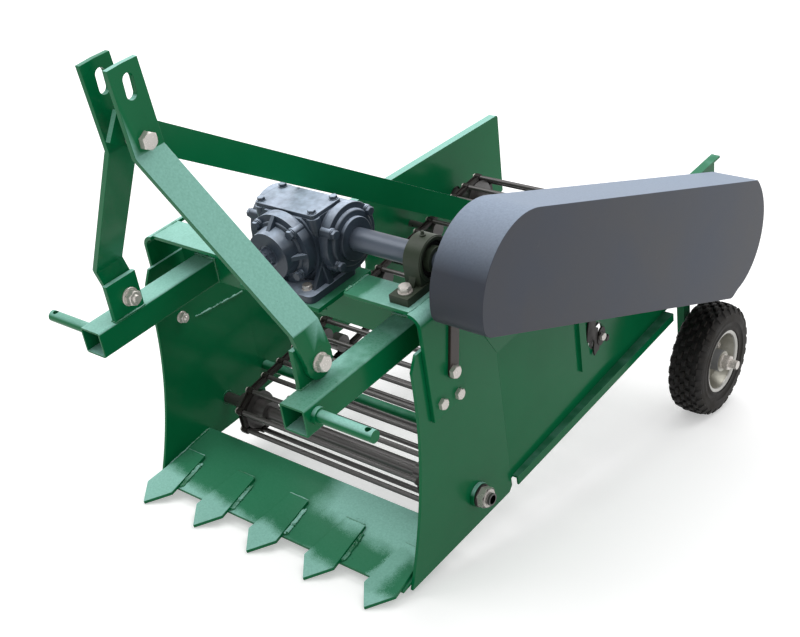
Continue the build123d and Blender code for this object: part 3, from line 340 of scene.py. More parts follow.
# Finish: shared effect, its values, bump, bump's depth in mm, metallic, sheen.
FINISHES = {
    # The paints' painted highlight values set a painted highlight on faces that look up; the greens differ
    # mainly in how strong and how patchy it is.
    "green_paint": (ENAMEL, GREEN, 0.12, 0.5, 0.0, 0.14),
    "green_paint_patchy_highlight": (ENAMEL, {**GREEN, "Painted highlight patches": 0.35}, 0.12, 0.5, 0.0, 0.14),
    "green_paint_streaky_highlight": (ENAMEL, {**GREEN, "Painted highlight patches": 0.6}, 0.12, 0.5, 0.0, 0.12),
    "green_paint_faint_highlight": (ENAMEL, {
        **GREEN, "Painted highlight amount": 0.35, "Painted highlight patches": 0.7, "Gloss": 0.14}, 0.12, 0.5, 0.0, 0.08),
    # On the welds the painted highlight makes glints, and the dense chips are partly chips and partly painted
    # shade in the bead's gaps.
    "weld_green_paint": (ENAMEL, {
        **GREEN, "Painted highlight amount": 0.75, "Painted highlight patches": 0.9, "Chip amount": 1.0}, 0.3, 0.6, 0.0, 0.4),
    "blade_green_paint": (ENAMEL, {**GREEN, "Chip amount": 0.8}, 0.12, 0.5, 0.0, 0.14),
    "beam_green_paint": (ENAMEL, {**GREEN, "Painted highlight patches": 0.25}, 0.12, 0.5, 0.0, 0.2),
    # The guard's pale bluish top is a painted highlight.
    "guard_paint": (ENAMEL, {
        "Paint": (0.037, 0.047, 0.072, 1), "Shade": (0.05, 0.052, 0.061, 1),
        "Painted highlight": (0.4, 0.49, 0.63, 1), "Painted highlight amount": 0.62, "Painted highlight from": 0.3, "Painted highlight full": 1.0,
        "Chip": (0.15, 0.15, 0.16, 1), "Chip amount": 0.12, "Scratch amount": 0.1, "Gloss": 0.4},
        0.1, 0.5, 0.0, 0.2),
    "support_paint": (ENAMEL, {
        "Paint": (0.035, 0.022, 0.018, 1), "Shade": (0.02, 0.014, 0.012, 1),
        "Painted highlight": (0.2, 0.16, 0.13, 1), "Painted highlight amount": 0.25,
        "Chip": (0.14, 0.08, 0.05, 1), "Chip amount": 0.5, "Gloss": 0.35}, 0.25, 0.5, 0.0, 0.4),
    # The castings' pale bluish dust and highlight colour is partly dust, partly painted highlight.
    "gearbox_cast": (CASTING, {
        "Paint": (0.036, 0.05, 0.07, 1), "Grease": (0.011, 0.014, 0.02, 1),
        "Dust and highlight": (0.6, 0.7, 0.86, 1), "Dust and highlight amount": 1.0, "Gloss": 0.26}, 0.4, 0.6, 0.0, 0.3),
    "bearing_cast": (CASTING, {
        "Paint": (0.03, 0.042, 0.026, 1), "Grease": (0.014, 0.018, 0.011, 1),
        "Dust and highlight": (0.3, 0.36, 0.27, 1), "Dust and highlight amount": 0.08, "Gloss": 0.32}, 0.4, 0.6, 0.0, 0.24),
}
# Finish: colours of steel and stain, stain, gloss, grain, bump, its depth in mm, metallic, sheen.
STEELS = {
    "shaft_steel": ((0.085, 0.105, 0.14, 1), (0.05, 0.06, 0.075, 1), 0.35, 0.3, 500.0, 0.06, 0.2, 0.2, 0.5),
    "chain_steel": ((0.022, 0.018, 0.0165, 1), (0.01, 0.008, 0.007, 1), 0.6, 0.3, 260.0, 0.15, 0.3, 0.3, 0.3),
    "web_steel": ((0.062, 0.056, 0.055, 1), (0.03, 0.025, 0.023, 1), 0.2, 0.24, 90.0, 0.02, 0.2, 0.2, 0.9),
    "zinc": ((0.66, 0.62, 0.58, 1), (0.36, 0.31, 0.28, 1), 0.12, 0.2, 120.0, 0.02, 0.1, 0.4, 0.5),
    "rim_steel": ((0.46, 0.455, 0.43, 1), (0.27, 0.26, 0.235, 1), 0.3, 0.24, 160.0, 0.04, 0.2, 0.6, 0.5),
    "dish_steel": ((0.33, 0.32, 0.275, 1), (0.15, 0.145, 0.12, 1), 0.4, 0.26, 120.0, 0.04, 0.2, 0.6, 0.5),
    "hub_steel": ((0.25, 0.255, 0.265, 1), (0.16, 0.16, 0.165, 1), 0.3, 0.36, 160.0, 0.04, 0.2, 0.4, 0.5),
}
for name, row in STEELS.items():
    FINISHES[name] = (STEEL, dict(zip(("Steel", "Stain", "Stain amount", "Gloss", "Grain"), row)), *row[5:])
finishes = {name: finish_of(name, *row) for name, row in FINISHES.items()}
finishes["tyre_rubber"] = rubber()


def lay_painted_highlight(finish, share, least, most):
    """Lets a paint's painted highlight follow a share from 0 to 1 over the piece."""
    tree = finishes[finish].node_tree
    put(tree.nodes["effect"].inputs["Painted highlight amount"], between(share, 0.0, 1.0, least, most))


PALE_POINTS = 64.0  # mm back from the points to which the teeth carry a painted highlight
PALE_HEEL = 156.0  # mm back from where the blade's rear carries a painted highlight
HEEL_FROM, HEEL_FULL = 0.02, 0.07  # metres right of the middle over which that begins
BLADE_SLANT = 0.1


def blade_painted_highlights():
    """Painted highlights at the teeth's points, on the blade's right rear corner and along the last tooth's
    left half.
    """
    tree = finishes["blade_green_paint"].node_tree
    place = own_place(tree)
    cloud = minus(noise_of(place, 14.0, 3.0), 0.5)
    speck = minus(noise_of(place, 700.0, 2.0), 0.5)
    shift = plus(times(cloud, 0.05), times(speck, 0.03))
    x = part_of(place, "X")
    back = plus(plus(part_of(place, "Y"), times(x, BLADE_SLANT)), shift)
    across = plus(x, shift)
    points, heel = [(LEVEL @ blade_point(0, ahead, 0)).y for ahead in (PALE_POINTS, PALE_HEEL)]
    tips = between(back, points - 0.01, points + 0.012, 1.0, 0.0)
    rear = times(between(back, heel - 0.014, heel + 0.014), between(across, HEEL_FROM, HEEL_FULL))
    inner = (highest("digging_teeth").x - 2 * TOOTH_HALF_W) / 1000  # the last tooth's left edge
    fall = between(across, inner + 0.03, inner + 0.048, 0.75, 0.0)
    streak = times(between(across, inner - 0.006, inner), fall)
    lay_painted_highlight("blade_green_paint", larger(larger(tips, rear), streak), 0.1, 0.8)


BEAM_PALE_LEFT = (-0.06, 0.02)  # metres across over which the left painted highlight ends
BEAM_PALE_RIGHT = (0.2, 0.212)  # and over which the right painted highlight begins


def beam_painted_highlights():
    """Painted highlight on the beam: faint by the gearbox, strong at the beam's left end and by the bearing.
    """
    tree = finishes["beam_green_paint"].node_tree
    place = own_place(tree)
    cloud = minus(noise_of(place, 18.0, 3.0), 0.5)
    across = plus(part_of(place, "X"), times(cloud, 0.02))
    left = between(across, *BEAM_PALE_LEFT, 1.0, 0.0)
    right = between(across, *BEAM_PALE_RIGHT)
    lay_painted_highlight("beam_green_paint", larger(left, right), 0.22, 0.85)


blade_painted_highlights()
beam_painted_highlights()


# ---- shaping helpers ----
AXES = {"x": (Vector((1, 0, 0)), Vector((0, 1, 0)), Vector((0, 0, 1))),
        "y": (Vector((0, 1, 0)), Vector((0, 0, 1)), Vector((1, 0, 0))),
        "z": (Vector((0, 0, 1)), Vector((1, 0, 0)), Vector((0, 1, 0)))}


def full_turn(count):
    return [2 * pi * k / count for k in range(count)]


def laid(profile, out):
    """A profile laid outwards along its axis, or back along it where `out` is -1."""
    return [(radius, out * along) for radius, along in profile]


def add_rings(bm, rings, cap_start=True, closed=False):
    """Skins rows of points, each row a closed loop of equal length."""
    rows = [[bm.verts.new(p) for p in ring] for ring in rings]
    spans = list(zip(rows, rows[1:]))
    if closed:
        spans.append((rows[-1], rows[0]))
    for a, b in spans:
        for i in range(len(a)):
            j = (i + 1) % len(a)
            bm.faces.new((a[i], a[j], b[j], b[i]))
    if closed:
        return
    if cap_start:
        bm.faces.new(rows[0][::-1])
    bm.faces.new(rows[-1])


def add_turned(bm, centre, axis, profile, sides=32, closed=False):
    """A turned form: profile is a list of (radius, distance along the axis) from the centre."""
    line, u, v = AXES[axis]
    centre = Vector(centre)
    rings = []
    for radius, along in profile:
        rings.append([centre + line * along + (u * cos(a) + v * sin(a)) * radius for a in full_turn(sides)])
    add_rings(bm, rings, closed=closed)


HEX_STEPS = 4  # points along each flat
HEX_DOME = 0.55  # how steeply the round chamfer falls to the corners
HEX_EDGE = 0.04  # depth of the chamfer, as a share of the spanner size
HEX_CROWN = 0.93  # radius of the flat top, as a share of half that size


def add_hex(bm, centre, axis, out, across, height):
    """A hexagon head or nut with its round chamfer, standing `out` (1 or -1) along the axis."""
    line, u, v = AXES[axis]
    centre = Vector(centre)
    flat = across / 2
    foot, brow, crown = [], [], []
    for a in full_turn(6 * HEX_STEPS):
        off = (a + pi / 6) % (pi / 3) - pi / 6
        reach = flat / cos(off)
        way = u * cos(a) + v * sin(a)
        drop = (reach - flat) * HEX_DOME
        foot.append(centre + way * reach)
        brow.append(centre + way * reach + line * out * (height - drop - HEX_EDGE * across))
        crown.append(centre + way * flat * HEX_CROWN + line * out * height)
    add_rings(bm, [foot, brow, crown])


THREAD_DEPTH = 0.6  # as a share of the pitch
THREAD_TIP = 0.82  # radius of the end, as a share of the root's
COARSE_PITCH = 1.75
AXLE_PITCH = 2.5


def add_thread(bm, centre, axis, out, diameter, length, pitch_mm=COARSE_PITCH, sides=20):
    """The end of a bolt: a stack of thread ridges and a chamfered tip."""
    radius = diameter / 2
    root = radius - THREAD_DEPTH * pitch_mm
    profile = [(root, -1.0)]
    turns = max(1, int(length / pitch_mm) - 1)
    for k in range(turns):
        profile += [(root, k * pitch_mm), (radius, (k + 0.5) * pitch_mm)]
    profile += [(root, turns * pitch_mm), (root * THREAD_TIP, length)]
    add_turned(bm, centre, axis, laid(profile, out), sides)


def add_washer(bm, centre, axis, out, inner, outer, thickness):
    edge = 0.25 * thickness
    profile = [(inner, 0.0), (outer, 0.0), (outer, thickness - edge), (outer - edge, thickness),
               (inner, thickness)]
    add_turned(bm, centre, axis, laid(profile, out), closed=True)


# Inner radius, outer radius and thickness of the washers, as shares of the spanner size.
BOLT_WASHER = (0.2, 0.63, 0.1)
NUT_WASHER = (0.3, 0.66, 0.12)
HEAD_H = 0.42
NUT_H = 0.52
THREAD_D = 0.6


def seat_of(bm, centre, axis, out, across, washer):
    """Lays the washer, where there is one, and gives the place that the head or nut stands on."""
    if not washer:
        return Vector(centre)
    inner, outer, thickness = [across * share for share in washer]
    add_washer(bm, centre, axis, out, inner, outer, thickness)
    return Vector(centre) + AXES[axis][0] * out * thickness


def add_bolt(bm, centre, axis, out, across, washer=BOLT_WASHER):
    """Hexagon head on its washer, standing on a face."""
    seat = seat_of(bm, centre, axis, out, across, washer)
    add_hex(bm, seat, axis, out, across, across * HEAD_H)


def add_nut(bm, centre, axis, out, across, tail, washer=NUT_WASHER):
    """Nut on its washer with the bolt's thread showing beyond it."""
    seat = seat_of(bm, centre, axis, out, across, washer)
    height = across * NUT_H
    add_hex(bm, seat, axis, out, across, height)
    end = seat + AXES[axis][0] * out * (height - 1.0)
    add_thread(bm, end, axis, out, across * THREAD_D, tail + 1.0)


BEAD_SIDES = 8
BEAD_STEP = 2.6
BEAD_SWELL = 0.22  # how far a bead's width wanders
BEAD_RIPPLE = (-0.1, 0.16)  # how far one ripple and the next stand out
BEAD_LUMP = 0.55
BEAD_DRIFT = 0.35
BEAD_END = 0.45  # width of its two ends
ASLANT = Vector((0.31, 0.52, 0.79))  # a way that no bead runs


def add_weld(bm, path, radius, seed, lumps):
    """A hand-laid weld bead along a path: overlapping ripples of uneven width, rougher with `lumps`."""
    points = [Vector(p) for p in path]
    stations = []
    for a, b in zip(points, points[1:]):
        count = max(1, int((b - a).length / BEAD_STEP))
        stations += [a.lerp(b, k / count) for k in range(count)]
    stations.append(points[-1])
    rings = []
    last = len(stations) - 1
    for k, at in enumerate(stations):
        ahead = (stations[min(k + 1, last)] - stations[max(k - 1, 0)]).normalized()
        side = ahead.cross(ASLANT).normalized()
        rise = ahead.cross(side)
        wobble = noise.noise(at * 0.13 + Vector((seed, 0, 0)))
        size = radius * (1.0 + BEAD_SWELL * wobble + BEAD_RIPPLE[k % 2])
        size *= 1.0 + BEAD_LUMP * lumps * noise.noise(at * 0.31 + Vector((0, seed * 3.7, 0)))
        size *= BEAD_END if k in (0, last) else 1.0
        drift = (side * noise.noise(at * 0.07) + rise * noise.noise(at * 0.09)) * radius * BEAD_DRIFT
        rings.append([at + drift + (side * cos(a) + rise * sin(a)) * size for a in full_turn(BEAD_SIDES)])
    add_rings(bm, rings)


def add_slab(bm, outline, start, end):
    """A flat outline of points made solid between two shifts of itself."""
    add_rings(bm, [[Vector(p) + Vector(shift) for p in outline] for shift in (start, end)])


def add_plate(bm, outline, x0, x1):
    """A flat outline of (along, up) points made solid from x0 to x1."""
    add_rings(bm, [[Vector((x, y, z)) for y, z in outline] for x in (x0, x1)])


SOFT_ANGLE = 38.0  # degrees from which an edge is rounded
FLAT_ANGLE = 0.6  # degrees within which faces join into one
JOIN_M = 0.00002


def soften(piece, width_mm):
    """Rounds an object's sharp edges a little, as rolled or cut steel is."""
    weld = piece.modifiers.new("join_corners", "WELD")
    weld.merge_threshold = JOIN_M
    flat = piece.modifiers.new("join_flat_faces", "DECIMATE")
    flat.decimate_type = "DISSOLVE"
    flat.angle_limit = radians(FLAT_ANGLE)
    edge = piece.modifiers.new("round_edges", "BEVEL")
    edge.width = width_mm / 1000
    edge.segments = 2
    edge.limit_method = "ANGLE"
    edge.angle_limit = radians(SOFT_ANGLE)
    edge.harden_normals = False
    edge.use_clamp_overlap = True
    even = piece.modifiers.new("even_shading", "WEIGHTED_NORMAL")
    even.keep_sharp = False
    even.weight = 80


def link_object(name, data):
    made = bpy.data.objects.new(name, data)
    bpy.context.scene.collection.objects.link(made)
    return made


def lay_piece(name, bm, slot, body="frame", stands_for=(), smooth=35.0, round_edges=0.0, shown=None):
    """Turns what was drawn into a piece of the machine, riding on its body, with its slot's finish.

    `shown` is another finish to lay on it in place of the slot's own.
    """
    bmesh.ops.recalc_face_normals(bm, faces=bm.faces)
    mesh = bpy.data.meshes.new(name)
    bm.to_mesh(mesh)
    bm.free()
    mesh.transform(LEVEL)
    mesh.shade_smooth()
    mesh.set_sharp_from_angle(angle=radians(smooth))
    mesh.materials.append(finishes[shown or slot])
    piece = link_object(name, mesh)
    if round_edges:
        soften(piece, round_edges)
    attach(piece, body)
    if stands_for:
        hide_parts(*stands_for)


# ---- finishes and edges of the frame's own nodes ----
OWN_FINISHES = {  # nodes with a finish of their own: mostly green paint whose painted highlight lies its own way, and dish steel on the rims
    "blade_plate": "blade_green_paint", "digging_teeth": "blade_green_paint",
    "cross_beam": "beam_green_paint", "cross_tubes": "green_paint_faint_highlight",
    "rear_panel_right": "green_paint_faint_highlight", "mast_bar_left": "green_paint_faint_highlight",
    "gearbox_plate": "green_paint_faint_highlight", "hitch_arm_right": "green_paint_streaky_highlight",
    "end_bracket_right": "green_paint_streaky_highlight", "hitch_pins": "green_paint_patchy_highlight",
    "rim_right": "dish_steel", "rim_left": "dish_steel",
}
for part in frame["record"]["subparts"]:
    coats = frame["nodes"][part["node"]].data.materials
    coats.clear()
    coats.append(finishes[OWN_FINISHES.get(part["node"], part["material_slot"])])

EDGES = {  # node, or the start of a pair's names, and the radius of its edges
    "cheek_plate": 0.35, "rear_panel": 0.35, "blade_plate": 1.2, "digging_teeth": 1.3, "cross_beam": 1.5,
    "end_bracket": 1.2, "gearbox_plate": 1.6, "hitch_arm": 0.8, "arm_lugs": 1.3, "mast_bar": 1.2,
    "stay_bar": 1.2, "cross_tubes": 1.0, "support_bar": 1.0, "wheel_leg": 1.2, "gearbox_cover": 1.5,
    "gearbox_housing": 2.2, "input_cap": 1.5, "output_caps": 1.6, "pillow_block": 1.6,
    "chain_guard": 1.6, "shaft_bearings": 1.2, "hitch_pins": 1.0, "axle_bosses": 0.8,
}
for stem, width in EDGES.items():
    for name in (stem, stem + "_right", stem + "_left"):
        if name in frame["nodes"]:
            soften(frame["nodes"][name], width)


# ---- bolts ----
M8, M10, M12, M16 = 13.0, 16.0, 19.0, 27.0  # spanner sizes
STRAP_HEAD = 22.0
BRACKET_BOLTS = {RIGHT: ((225.0, 316.0), (271.0, 308.0)), LEFT: ((232.0, 301.0),)}  # along, up
STRAP_BOLT = (259.0, 364.0)
PIVOT = (58.0, 475.0)  # along, up of the bolts through the arms' lugs
SLOT_BOLT = (-10.0, 858.0)  # and of the long bolt below the mast's slots
MAST_BAR_T = 10.0
SHANK_R = 9.0


def bracket_bolts():
    """Bolts of the end brackets and of the support strap, and the one in the port's ring."""
    bm = bmesh.new()
    for side, places in BRACKET_BOLTS.items():
        for place in places:
            add_bolt(bm, (side * BRACKET_X, *place), "x", side, M12, washer=None)
            add_nut(bm, (side * (CHEEK_X - CHEEK_T), *place), "x", -side, M12, 5.0)
    add_bolt(bm, (highest("support_bar").x, *STRAP_BOLT), "x", RIGHT, STRAP_HEAD, washer=None)
    add_bolt(bm, (HOOK_X + HOOK_T + 1.0, *RING_AT), "x", RIGHT, M10, washer=None)
    lay_piece("bracket_bolts", bm, "zinc")


def mast_fasteners():
    """Pivot bolts through arm lugs and mast bars, and the long bolt with its spacers below the slots."""
    bm = bmesh.new()
    bar_low, bar_high = node_box("mast_bar_right")
    lug = highest("arm_lugs").x - LUG_T
    for side in BOTH:
        shank = laid([(SHANK_R, lug - 2), (SHANK_R, bar_high.x)], side)
        add_turned(bm, (0, *PIVOT), "x", shank, 24)
        add_bolt(bm, (side * bar_high.x, *PIVOT), "x", side, M16)
        add_nut(bm, (side * lug, *PIVOT), "x", -side, M16, 4.0)
    gap = bar_low.x
    grip = gap + MAST_BAR_T
    add_turned(bm, (0, *SLOT_BOLT), "x", [(SHANK_R, -grip), (SHANK_R, grip)], 24)
    add_bolt(bm, (grip, *SLOT_BOLT), "x", RIGHT, M16, washer=None)
    add_nut(bm, (-grip, *SLOT_BOLT), "x", LEFT, M16, 3.0, washer=None)
    spacer = [(SHANK_R, 5.0), (15.0, 5.0), (16.0, 6.0), (16.0, gap - 1), (15.0, gap), (SHANK_R, gap)]
    for side in BOTH:
        add_turned(bm, (0, *SLOT_BOLT), "x", laid(spacer, side), 28, closed=True)
    lay_piece("mast_fasteners", bm, "zinc", stands_for=("mast_bolts",))


# ---- gearbox ----
LID_LOW, LID_HIGH = node_box("gearbox_cover")
HOUSING_LOW = lowest("gearbox_housing")
CAP_LOW, CAP_HIGH = node_box("input_cap")
CAPS_LOW, CAPS_HIGH = node_box("output_caps")
CROSS_SHAFT = middle("cross_shaft")
FOOT_TOP = HOUSING_LOW.z + 14.0  # top of the casting's foot
INPUT_FACE = CAP_HIGH.y - 20.0  # front of the input cap's flange
SEAL_T = 13.5
OUTPUT_FACES = ((RIGHT, CAPS_HIGH.x - SEAL_T), (LEFT, CAPS_LOW.x))
CAP_BOLT_R = 57.0
CAP_BOLT = 15.0  # spanner size
BOLT_ROOM = 9.0  # least height of a cap's bolt over the foot
LID_INSET = 10.0


def cap_bolt_places(centre, degrees, radius):
    """Places of a round cap's bolts that clear the casting's foot, the second measure upwards."""
    places = [(centre[0] + radius * cos(radians(turn)), centre[1] + radius * sin(radians(turn)))
              for turn in degrees]
    return [place for place in places if place[1] > FOOT_TOP + BOLT_ROOM]


INPUT_PLACES = cap_bolt_places((SHAFT_END.x, SHAFT_END.z), (45.0, 135.0, 225.0, 315.0), CAP_BOLT_R)
OUTPUT_PLACES = cap_bolt_places(CROSS_SHAFT.yz, (33.0, 147.0, 217.0, 323.0), CAP_BOLT_R - 1)
LID_PLACES = [(x, y) for x in (LID_LOW.x + LID_INSET, LID_HIGH.x - LID_INSET)
              for y in (LID_LOW.y + LID_INSET, LID_HIGH.y - LID_INSET)]
OIL_PLUG = Vector((LID_HIGH.x, LID_LOW.y + 26, HOUSING_LOW.z + 34))
LID_EAR = ((4.0, -62), (9.5, -44), (12.0, -20), (12.5, 0))  # radius, up from the lid's foot
OUTPUT_RING = ((38.0, -1.0), (53.0, -1.0), (51.0, 5.0), (48.0, 6.5), (38.0, 6.5))
LEFT_COVER = ((37.5, -1.0), (37.5, 7.0), (34.0, 10.0), (0.5, 10.0))
PLUG_BOSS = ((11.0, -2.0), (11.0, 3.0), (9.5, 4.0))
SIDE_WEB = ((-8, -1), (8, -1), (1.5, 30), (-8, 46))  # out from the wall, up from the foot
FRONT_WEB = ((6, -1), (-26, -1), (-22, 5), (6, 44))  # back from the lid, up from the foot


def gearbox_details():
    """Ears below the lid's bolts, lugs under the caps' bolts, raised rings, the left cap's cover, foot webs
    and the oil plug's boss."""
    bm = bmesh.new()
    for x, y in LID_PLACES:
        add_turned(bm, (x, y, 0), "z", [(r, LID_LOW.z + up) for r, up in LID_EAR], 28)
    for x, z in INPUT_PLACES:
        lug = [(10.5, CAP_HIGH.y + 3), (10.5, INPUT_FACE - 3), (9.0, INPUT_FACE - 5)]
        add_turned(bm, (x, 0, z), "y", lug, 24)
    for y, z in OUTPUT_PLACES:
        for side, face in OUTPUT_FACES:
            lug = [(10.5, face - side * 20), (10.5, face + side * 2.5), (9.0, face + side * 4.5)]
            add_turned(bm, (0, y, z), "x", lug, 24)
    for side, face in OUTPUT_FACES:
        add_turned(bm, (face, *CROSS_SHAFT.yz), "x", laid(OUTPUT_RING, side), 56, closed=True)
    face = INPUT_FACE
    ring = [(46.0, face + 1), (54.0, face + 1), (52.0, face - 3.0), (46.5, face - 4.5)]
    add_turned(bm, (SHAFT_END.x, 0, SHAFT_END.z), "y", ring, 56, closed=True)
    add_turned(bm, (CAPS_LOW.x, *CROSS_SHAFT.yz), "x", LEFT_COVER, 40)
    for side, wall in ((RIGHT, LID_HIGH.x), (LEFT, LID_LOW.x)):
        web = [(wall + side * out, LID_LOW.y + 9.0, FOOT_TOP + up) for out, up in SIDE_WEB]
        add_slab(bm, web, (0, -7.0, 0), (0, 7.0, 0))
    for x in (LID_LOW.x + 6, LID_HIGH.x - 6):
        web = [(x, LID_LOW.y + back, FOOT_TOP + up) for back, up in FRONT_WEB]
        add_slab(bm, web, (-4.5, 0, 0), (4.5, 0, 0))
    add_turned(bm, OIL_PLUG, "x", PLUG_BOSS, 24)
    lay_piece("gearbox_details", bm, "gearbox_cast", round_edges=1.6)


def gearbox_bolts():
    """Bolts of the lid and of the round caps, and the oil plug, painted over with the casting."""
    bm = bmesh.new()
    for x, y in LID_PLACES:
        add_bolt(bm, (x, y, LID_HIGH.z), "z", 1, M8)
    for x, z in INPUT_PLACES:
        add_bolt(bm, (x, INPUT_FACE - 5.0, z), "y", -1, CAP_BOLT)
    for y, z in OUTPUT_PLACES:
        for side, face in OUTPUT_FACES:
            add_bolt(bm, (face + side * 4.5, y, z), "x", side, CAP_BOLT)
    add_hex(bm, (OIL_PLUG.x + 4.0, OIL_PLUG.y, OIL_PLUG.z), "x", 1, M8, 7.0)
    lay_piece("gearbox_bolts", bm, "gearbox_cast")


FOOT_BOLT_X = 50.0  # gearbox's middle to its foot bolts
FOOT_BOLT_Y = 23.0  # foot's front edge to its bolts
BEARING_BOLT_Y = 20.0  # end of the bearing's base to its bolt
BEARING_LOW, BEARING_HIGH = node_box("pillow_block")
BEARING_BASE = BEARING_LOW.z + 15.0  # top of the bearing's base
BEARING_AT = ((BEARING_LOW.x + BEARING_HIGH.x) / 2, CROSS_SHAFT.y, SHAFT_END.z)
WASHER_T = 2.2


def foot_bolts():
    """Bright bolts that hold the gearbox and the shaft's bearing down."""
    bm = bmesh.new()
    for side in BOTH:
        at = (SHAFT_END.x + side * FOOT_BOLT_X, HOUSING_LOW.y + FOOT_BOLT_Y, FOOT_TOP)
        add_bolt(bm, at, "z", 1, M10)
    x = BEARING_AT[0]
    for y in (BEARING_LOW.y + BEARING_BOLT_Y, BEARING_HIGH.y - BEARING_BOLT_Y):
        add_washer(bm, (x, y, BEARING_BASE), "z", 1, 7.0, 13.0, WASHER_T)
        add_hex(bm, (x, y, BEARING_BASE + WASHER_T), "z", 1, 20.0, 10.0)
    lay_piece("foot_bolts", bm, "zinc")


BEARING_WEB = ((36, -1), (52, -1), (43, 10), (38, 26))  # out from the shaft, up from the base
BEARING_RING = ((33.0, -1.0), (40.0, -1.0), (39.0, 1.6), (34.0, 1.6))
NIPPLE = ((5.5, -2.0), (5.5, 3.0), (3.4, 3.5), (3.4, 6.0), (2.4, 7.5), (3.2, 8.6), (2.0, 10.0))
RACE = ((23.0, 9.0), (31.9, 9.0), (31.9, 13.0), (30.5, 13.6), (28.0, 13.6), (27.4, 12.0), (23.0, 12.0))


def bearing_details():
    """Webs of the bearing's housing, the raised rings of its two faces and a grease nipple."""
    bm = bmesh.new()
    x, y, z = BEARING_AT
    for way in (1, -1):
        web = [(x - 7, y + way * out, BEARING_BASE + up) for out, up in BEARING_WEB]
        add_slab(bm, web, (0, 0, 0), (14.0, 0, 0))
    for side in BOTH:
        add_turned(bm, (x + side * 17.0, y, z), "x", laid(BEARING_RING, side), 48, closed=True)
    add_turned(bm, (x, y, z + 40.0), "z", NIPPLE, 20)
    lay_piece("bearing_details", bm, "bearing_cast", round_edges=1.0)


def bearing_insert():
    """The race rings of the bearing's steel insert."""
    bm = bmesh.new()
    for side in BOTH:
        add_turned(bm, BEARING_AT, "x", laid(RACE, side), 48, closed=True)
    lay_piece("bearing_insert", bm, "chain_steel")


SPLINES = 6
CREST_R, ROOT_R = 17.45, 14.8
SPLINE = (  # degrees from its middle, radius
    (-19, ROOT_R), (-12.5, CREST_R), (0.0, CREST_R), (12.5, CREST_R), (19, ROOT_R),
)
COLLAR_R = 20.9


def drive_splines():
    """The drive shaft's end with six splines and a groove for the yoke's lock."""
    bm = bmesh.new()
    low, high = node_box("input_shaft")
    tip = low.y
    shoulder = CAP_LOW.y
    stations = ((tip, 0.9), (tip + 2.0, 1.0), (tip + 8.0, 1.0), (tip + 9.0, 0.86), (tip + 14.0, 0.86),
                (tip + 15.0, 1.0), (shoulder + 2.0, 1.0))
    rings = []
    for y, share in stations:
        ring = []
        for k in range(SPLINES):
            for spread, radius in SPLINE:
                a = radians(360 / SPLINES * k + spread)
                r = radius * share
                ring.append(Vector((SHAFT_END.x + r * cos(a), y, SHAFT_END.z + r * sin(a))))
        rings.append(ring)
    add_rings(bm, rings)
    collar = [(COLLAR_R, shoulder + 1.5), (COLLAR_R, high.y)]
    add_turned(bm, (SHAFT_END.x, 0, SHAFT_END.z), "y", collar, 40)
    lay_piece("drive_splines", bm, "shaft_steel", stands_for=("input_shaft",), smooth=25.0)


# ---- welds ----
CHEEK_WELD = ((263.5, 281.7), (330.0, 275.0), (400.0, 267.5))  # along, up
PIN_WELD_R = 11.6
PIN_WELD_SIDES = 20


def tooth_middles():
    low, high = node_box("digging_teeth")
    reach = (high.x - low.x) / 2 - TOOTH_HALF_W
    return [-reach + 2 * reach * k / (TOOTH_COUNT - 1) for k in range(TOOTH_COUNT)]


def tooth_beads():
    """Path, radius, seed and roughness of the beads beside the teeth and across their backs."""
    beads = []
    back = TOOTH_HALF_W - TOOTH_CUT
    lift = TOOTH_T - 0.6
    for k, x in enumerate(tooth_middles()):
        if k < TOOTH_COUNT - 1:
            foot = blade_point(x + TOOTH_HALF_W - 1.0, BLADE_FRONT + 3, 1.2)
            heel = blade_point(x + back + 2.0, TOOTH_REAR - 18, 1.2)
            for seed, drift in ((0, 0.0), (3, 3.4)):
                shift = Vector((drift, drift, 0))
                beads.append(([foot + shift, heel + shift], 3.0, 7 * k + seed, 1.6))
        ends = [blade_point(x + way * back, TOOTH_REAR + 0.5, lift) for way in (-1, 1)]
        beads.append((ends, 1.3, k, 1.4))
    return beads


def side_beads(side):
    """The same of one side's beads: blade's edge, arm's end, lug's foot, pin, cheek plate and beam's end."""
    cheek = CHEEK_X - CHEEK_T
    face = BEAM_REAR - BEAM_T - 0.5
    x0, x1 = side * (ARM_X - ARM_HALF), side * (ARM_X + ARM_HALF)
    foot, top = ARM_Z - ARM_HALF, ARM_Z + ARM_HALF
    low, high = node_box("arm_lugs")
    l0, l1 = side * (high.x - LUG_T), side * high.x
    pin_x = side * (ARM_X + ARM_HALF + 0.2)
    turns = [2 * pi * k / PIN_WELD_SIDES for k in range(PIN_WELD_SIDES + 1)]
    end, crest = side * BEAM_HIGH.x, BEAM_HIGH.z - 0.8
    return (
        ([blade_point(side * cheek, ahead, 0.5) for ahead in (100.0, 230.0)], 3.0, 5 * side, 1.0),
        ([(x0, face, foot), (x0, face, top), (x1, face, top), (x1, face, foot)], 3.0, side, 0.6),
        ([(l0, low.y, top), (l1, low.y, top), (l1, high.y, top), (l0, high.y, top), (l0, low.y, top)],
         2.4, 3 * side, 0.8),
        ([(pin_x, PIN[0] + PIN_WELD_R * cos(a), PIN[1] + PIN_WELD_R * sin(a)) for a in turns],
         2.4, 9 * side, 0.6),
        ([(side * (cheek + 0.3), *at) for at in CHEEK_WELD], 3.0, 7 * side, 1.8),
        ([(end, BEAM_LOW.y + 2, crest), (end, BEAM_REAR - 2, crest)], 2.4, 4 * side, 0.6),
    )


